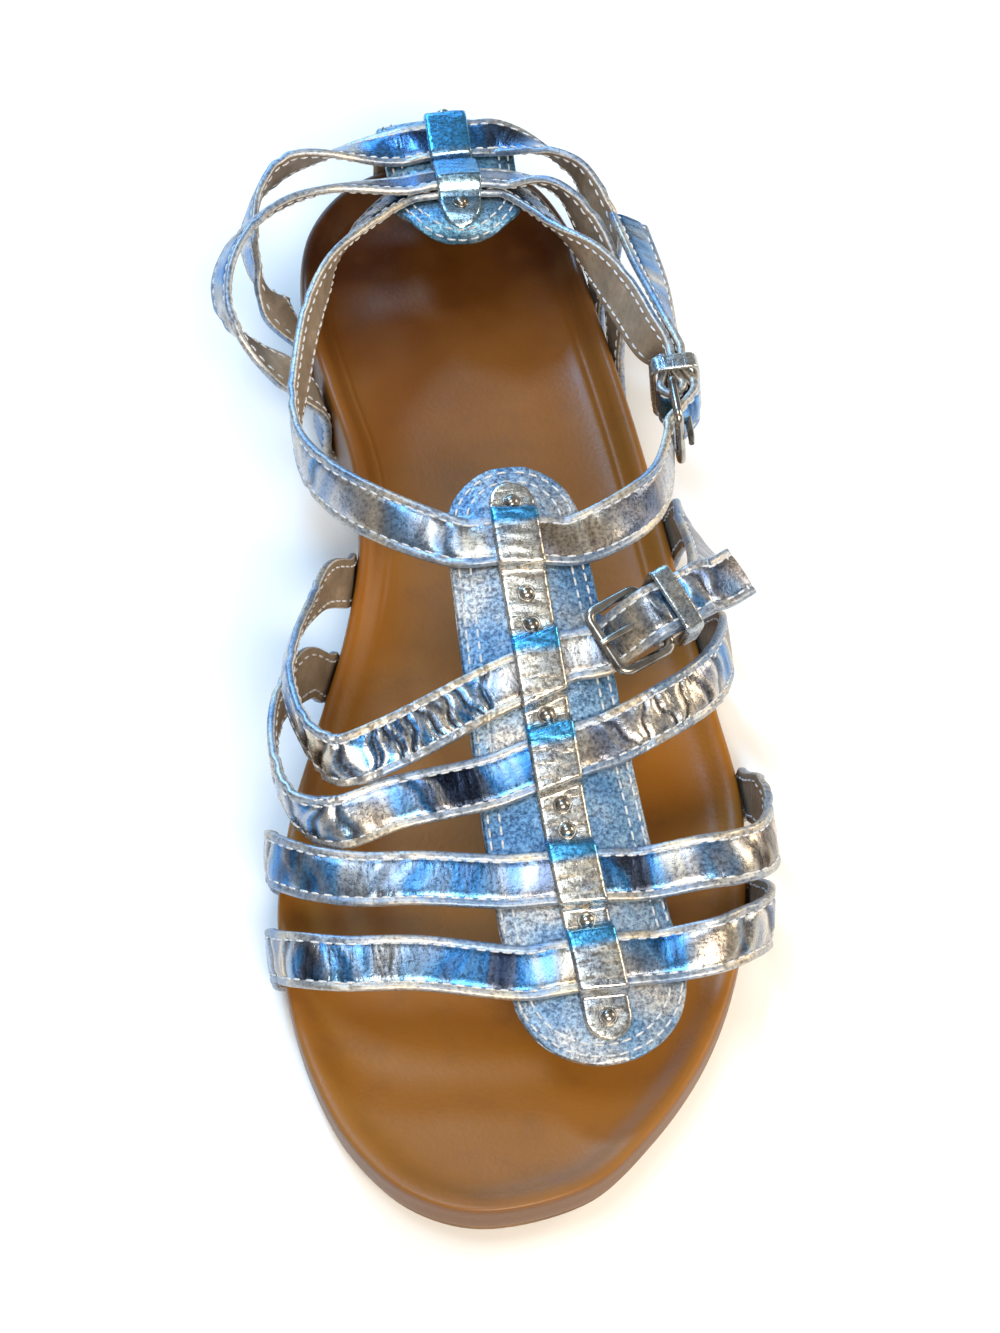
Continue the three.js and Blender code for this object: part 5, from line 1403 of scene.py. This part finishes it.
NICKEL = plain("antique_nickel", (240, 4.0, 0.6),
               [(0.32, (0.14, 0.125, 0.11)), (0.5, (0.36, 0.33, 0.29)), (0.7, (0.55, 0.51, 0.45))],
               (0.34, 0.14), (0.12, 0.0001), (700,), Metallic=1.0)
FOOTBED = footbed_leather("footbed_brown")
RUBBER = plain("sole_rubber", (90, 4.0, 0.6),
               [(0.3, (0.1, 0.045, 0.013)), (0.6, (0.19, 0.09, 0.026)), (0.8, (0.26, 0.14, 0.05))],
               (0.5, 0.72), (0.4, 0.0003), (900,))
STRAP_MATERIALS = [SILVER, LINING, RAW, THREAD, TRIM]
PANEL_MATERIALS = [GRAINY, LINING, TRIM, THREAD]

# The sandal

instep_buckle = buckle_frame(INSTEP_STRAP, FOOT_CORE)
ankle_buckle = buckle_frame(ANKLE_STRAP, ANKLE_CORE)

footbed_piece()
outsole_piece()
panel_piece("instep_panel", panel, True, PANEL_STITCH_ROWS)
panel_piece("heel_stay", stay, False, STAY_STITCH_ROWS)
keeper_piece("instep_keeper", panel, PANEL_CROSSINGS, PANEL_KEEPER, PANEL_RIVETS, INSTEP_FOIL)
keeper_piece("heel_keeper", stay, STAY_CROSSINGS, STAY_KEEPER, STAY_RIVETS, HEEL_FOIL)
for name, strip, rivets in (("instep", panel, PANEL_RIVETS), ("heel", stay, STAY_RIVETS)):
    for number, share in enumerate(rivets, 1):
        rivet_piece(f"{name}_rivet_{number}", strip, share)

for name, table in (("toe", TOE_STRAP), ("ball", BALL_STRAP), ("vamp", VAMP_STRAP)):
    strap_piece(f"{name}_strap",
                whole_strap(table, panel, PANEL_CROSSINGS[name], 0, FOOT_CORE))
for layer, (name, table) in enumerate((("low", LOW_HEEL_STRAP), ("high", HIGH_HEEL_STRAP))):
    strap_piece(f"{name}_heel_strap",
                whole_strap(table, stay, STAY_CROSSINGS[name], layer, ANKLE_CORE))
strap_piece("instep_strap", instep_route(instep_buckle), tail=True)
strap_piece("instep_buckle_strap", instep_buckle_route(instep_buckle))
strap_piece("ankle_strap", ankle_route(ankle_buckle), tail=True)
for name, here in (("instep", instep_buckle), ("ankle", ankle_buckle)):
    buckle_piece(f"{name}_buckle", here)
    prong_piece(f"{name}_prong", here)
    loop_piece(f"{name}_loop", here)

# Floor, light and camera: metres, watts, degrees

FLOOR_HALF = 3.0
WORLD = {"Color": (1.0, 0.98, 0.95, 1), "Strength": 0.3}
LIGHTS_AIM = (0.0, -0.09, 0.02)
# name: (place, size, power, colour)
LIGHTS = {
    "window": ((-0.42, 0.68, 0.9), (0.2, 0.2), 8.0, (0.3, 0.62, 1.0)),
    "low_sky": ((-0.3, 1.0, 0.3), (0.7, 0.25), 4.0, (0.25, 0.6, 1.0)),
    "overhead": ((-0.25, -0.1, 1.3), (0.6, 0.6), 6.2, (0.76, 0.88, 1.0)),
    "front_warm": ((0.2, -1.05, 0.9), (0.7, 0.5), 17.0, (1.0, 0.88, 0.72)),
    "right_warm": ((1.0, 0.15, 0.5), (0.5, 0.5), 5.0, (1.0, 0.84, 0.62)),
}
CAMERA_AIM = np.array([0.007, -0.1047, 0.02])
CAMERA_VIEW = (-2.7, 55.5, 0.56)
CAMERA_LENS = 77.5
CAMERA_SENSOR = 36.0


def in_scene(name, data):
    made = bpy.data.objects.new(name, data)
    bpy.context.scene.collection.objects.link(made)
    return made


def aimed(made, at, way):
    """Puts a light or camera at a place, looking along a way."""
    made.location = at
    made.rotation_euler = Vector(way).to_track_quat("-Z", "Y").to_euler()


def floor():
    mesh = bpy.data.meshes.new("floor")
    h = FLOOR_HALF
    mesh.from_pydata([(-h, -h, 0), (h, -h, 0), (h, h, 0), (-h, h, 0)], [], [(0, 1, 2, 3)])
    mesh.materials.append(floor_white("floor_white"))
    in_scene("floor", mesh)


def studio():
    world = bpy.data.worlds.new("studio")
    bpy.context.scene.world = world
    world.use_nodes = True
    for key, value in WORLD.items():
        world.node_tree.nodes["Background"].inputs[key].default_value = value
    for name, (at, size, power, colour) in LIGHTS.items():
        light = bpy.data.lights.new(name, "AREA")
        light.shape = "ELLIPSE"
        light.size, light.size_y = size
        light.energy = power
        light.color = colour
        aimed(in_scene(name, light), at, Vector(LIGHTS_AIM) - Vector(at))
    bpy.context.scene.view_settings.view_transform = "Standard"


def camera():
    azimuth, elevation = map(math.radians, CAMERA_VIEW[:2])
    back = np.array([math.sin(azimuth) * math.cos(elevation),
                     -math.cos(azimuth) * math.cos(elevation), math.sin(elevation)])
    data = bpy.data.cameras.new("camera")
    data.sensor_fit = "VERTICAL"
    data.sensor_height = CAMERA_SENSOR
    data.lens = CAMERA_LENS
    made = in_scene("camera", data)
    aimed(made, CAMERA_AIM + back * CAMERA_VIEW[2], -back)
    bpy.context.scene.camera = made


floor()
studio()
camera()
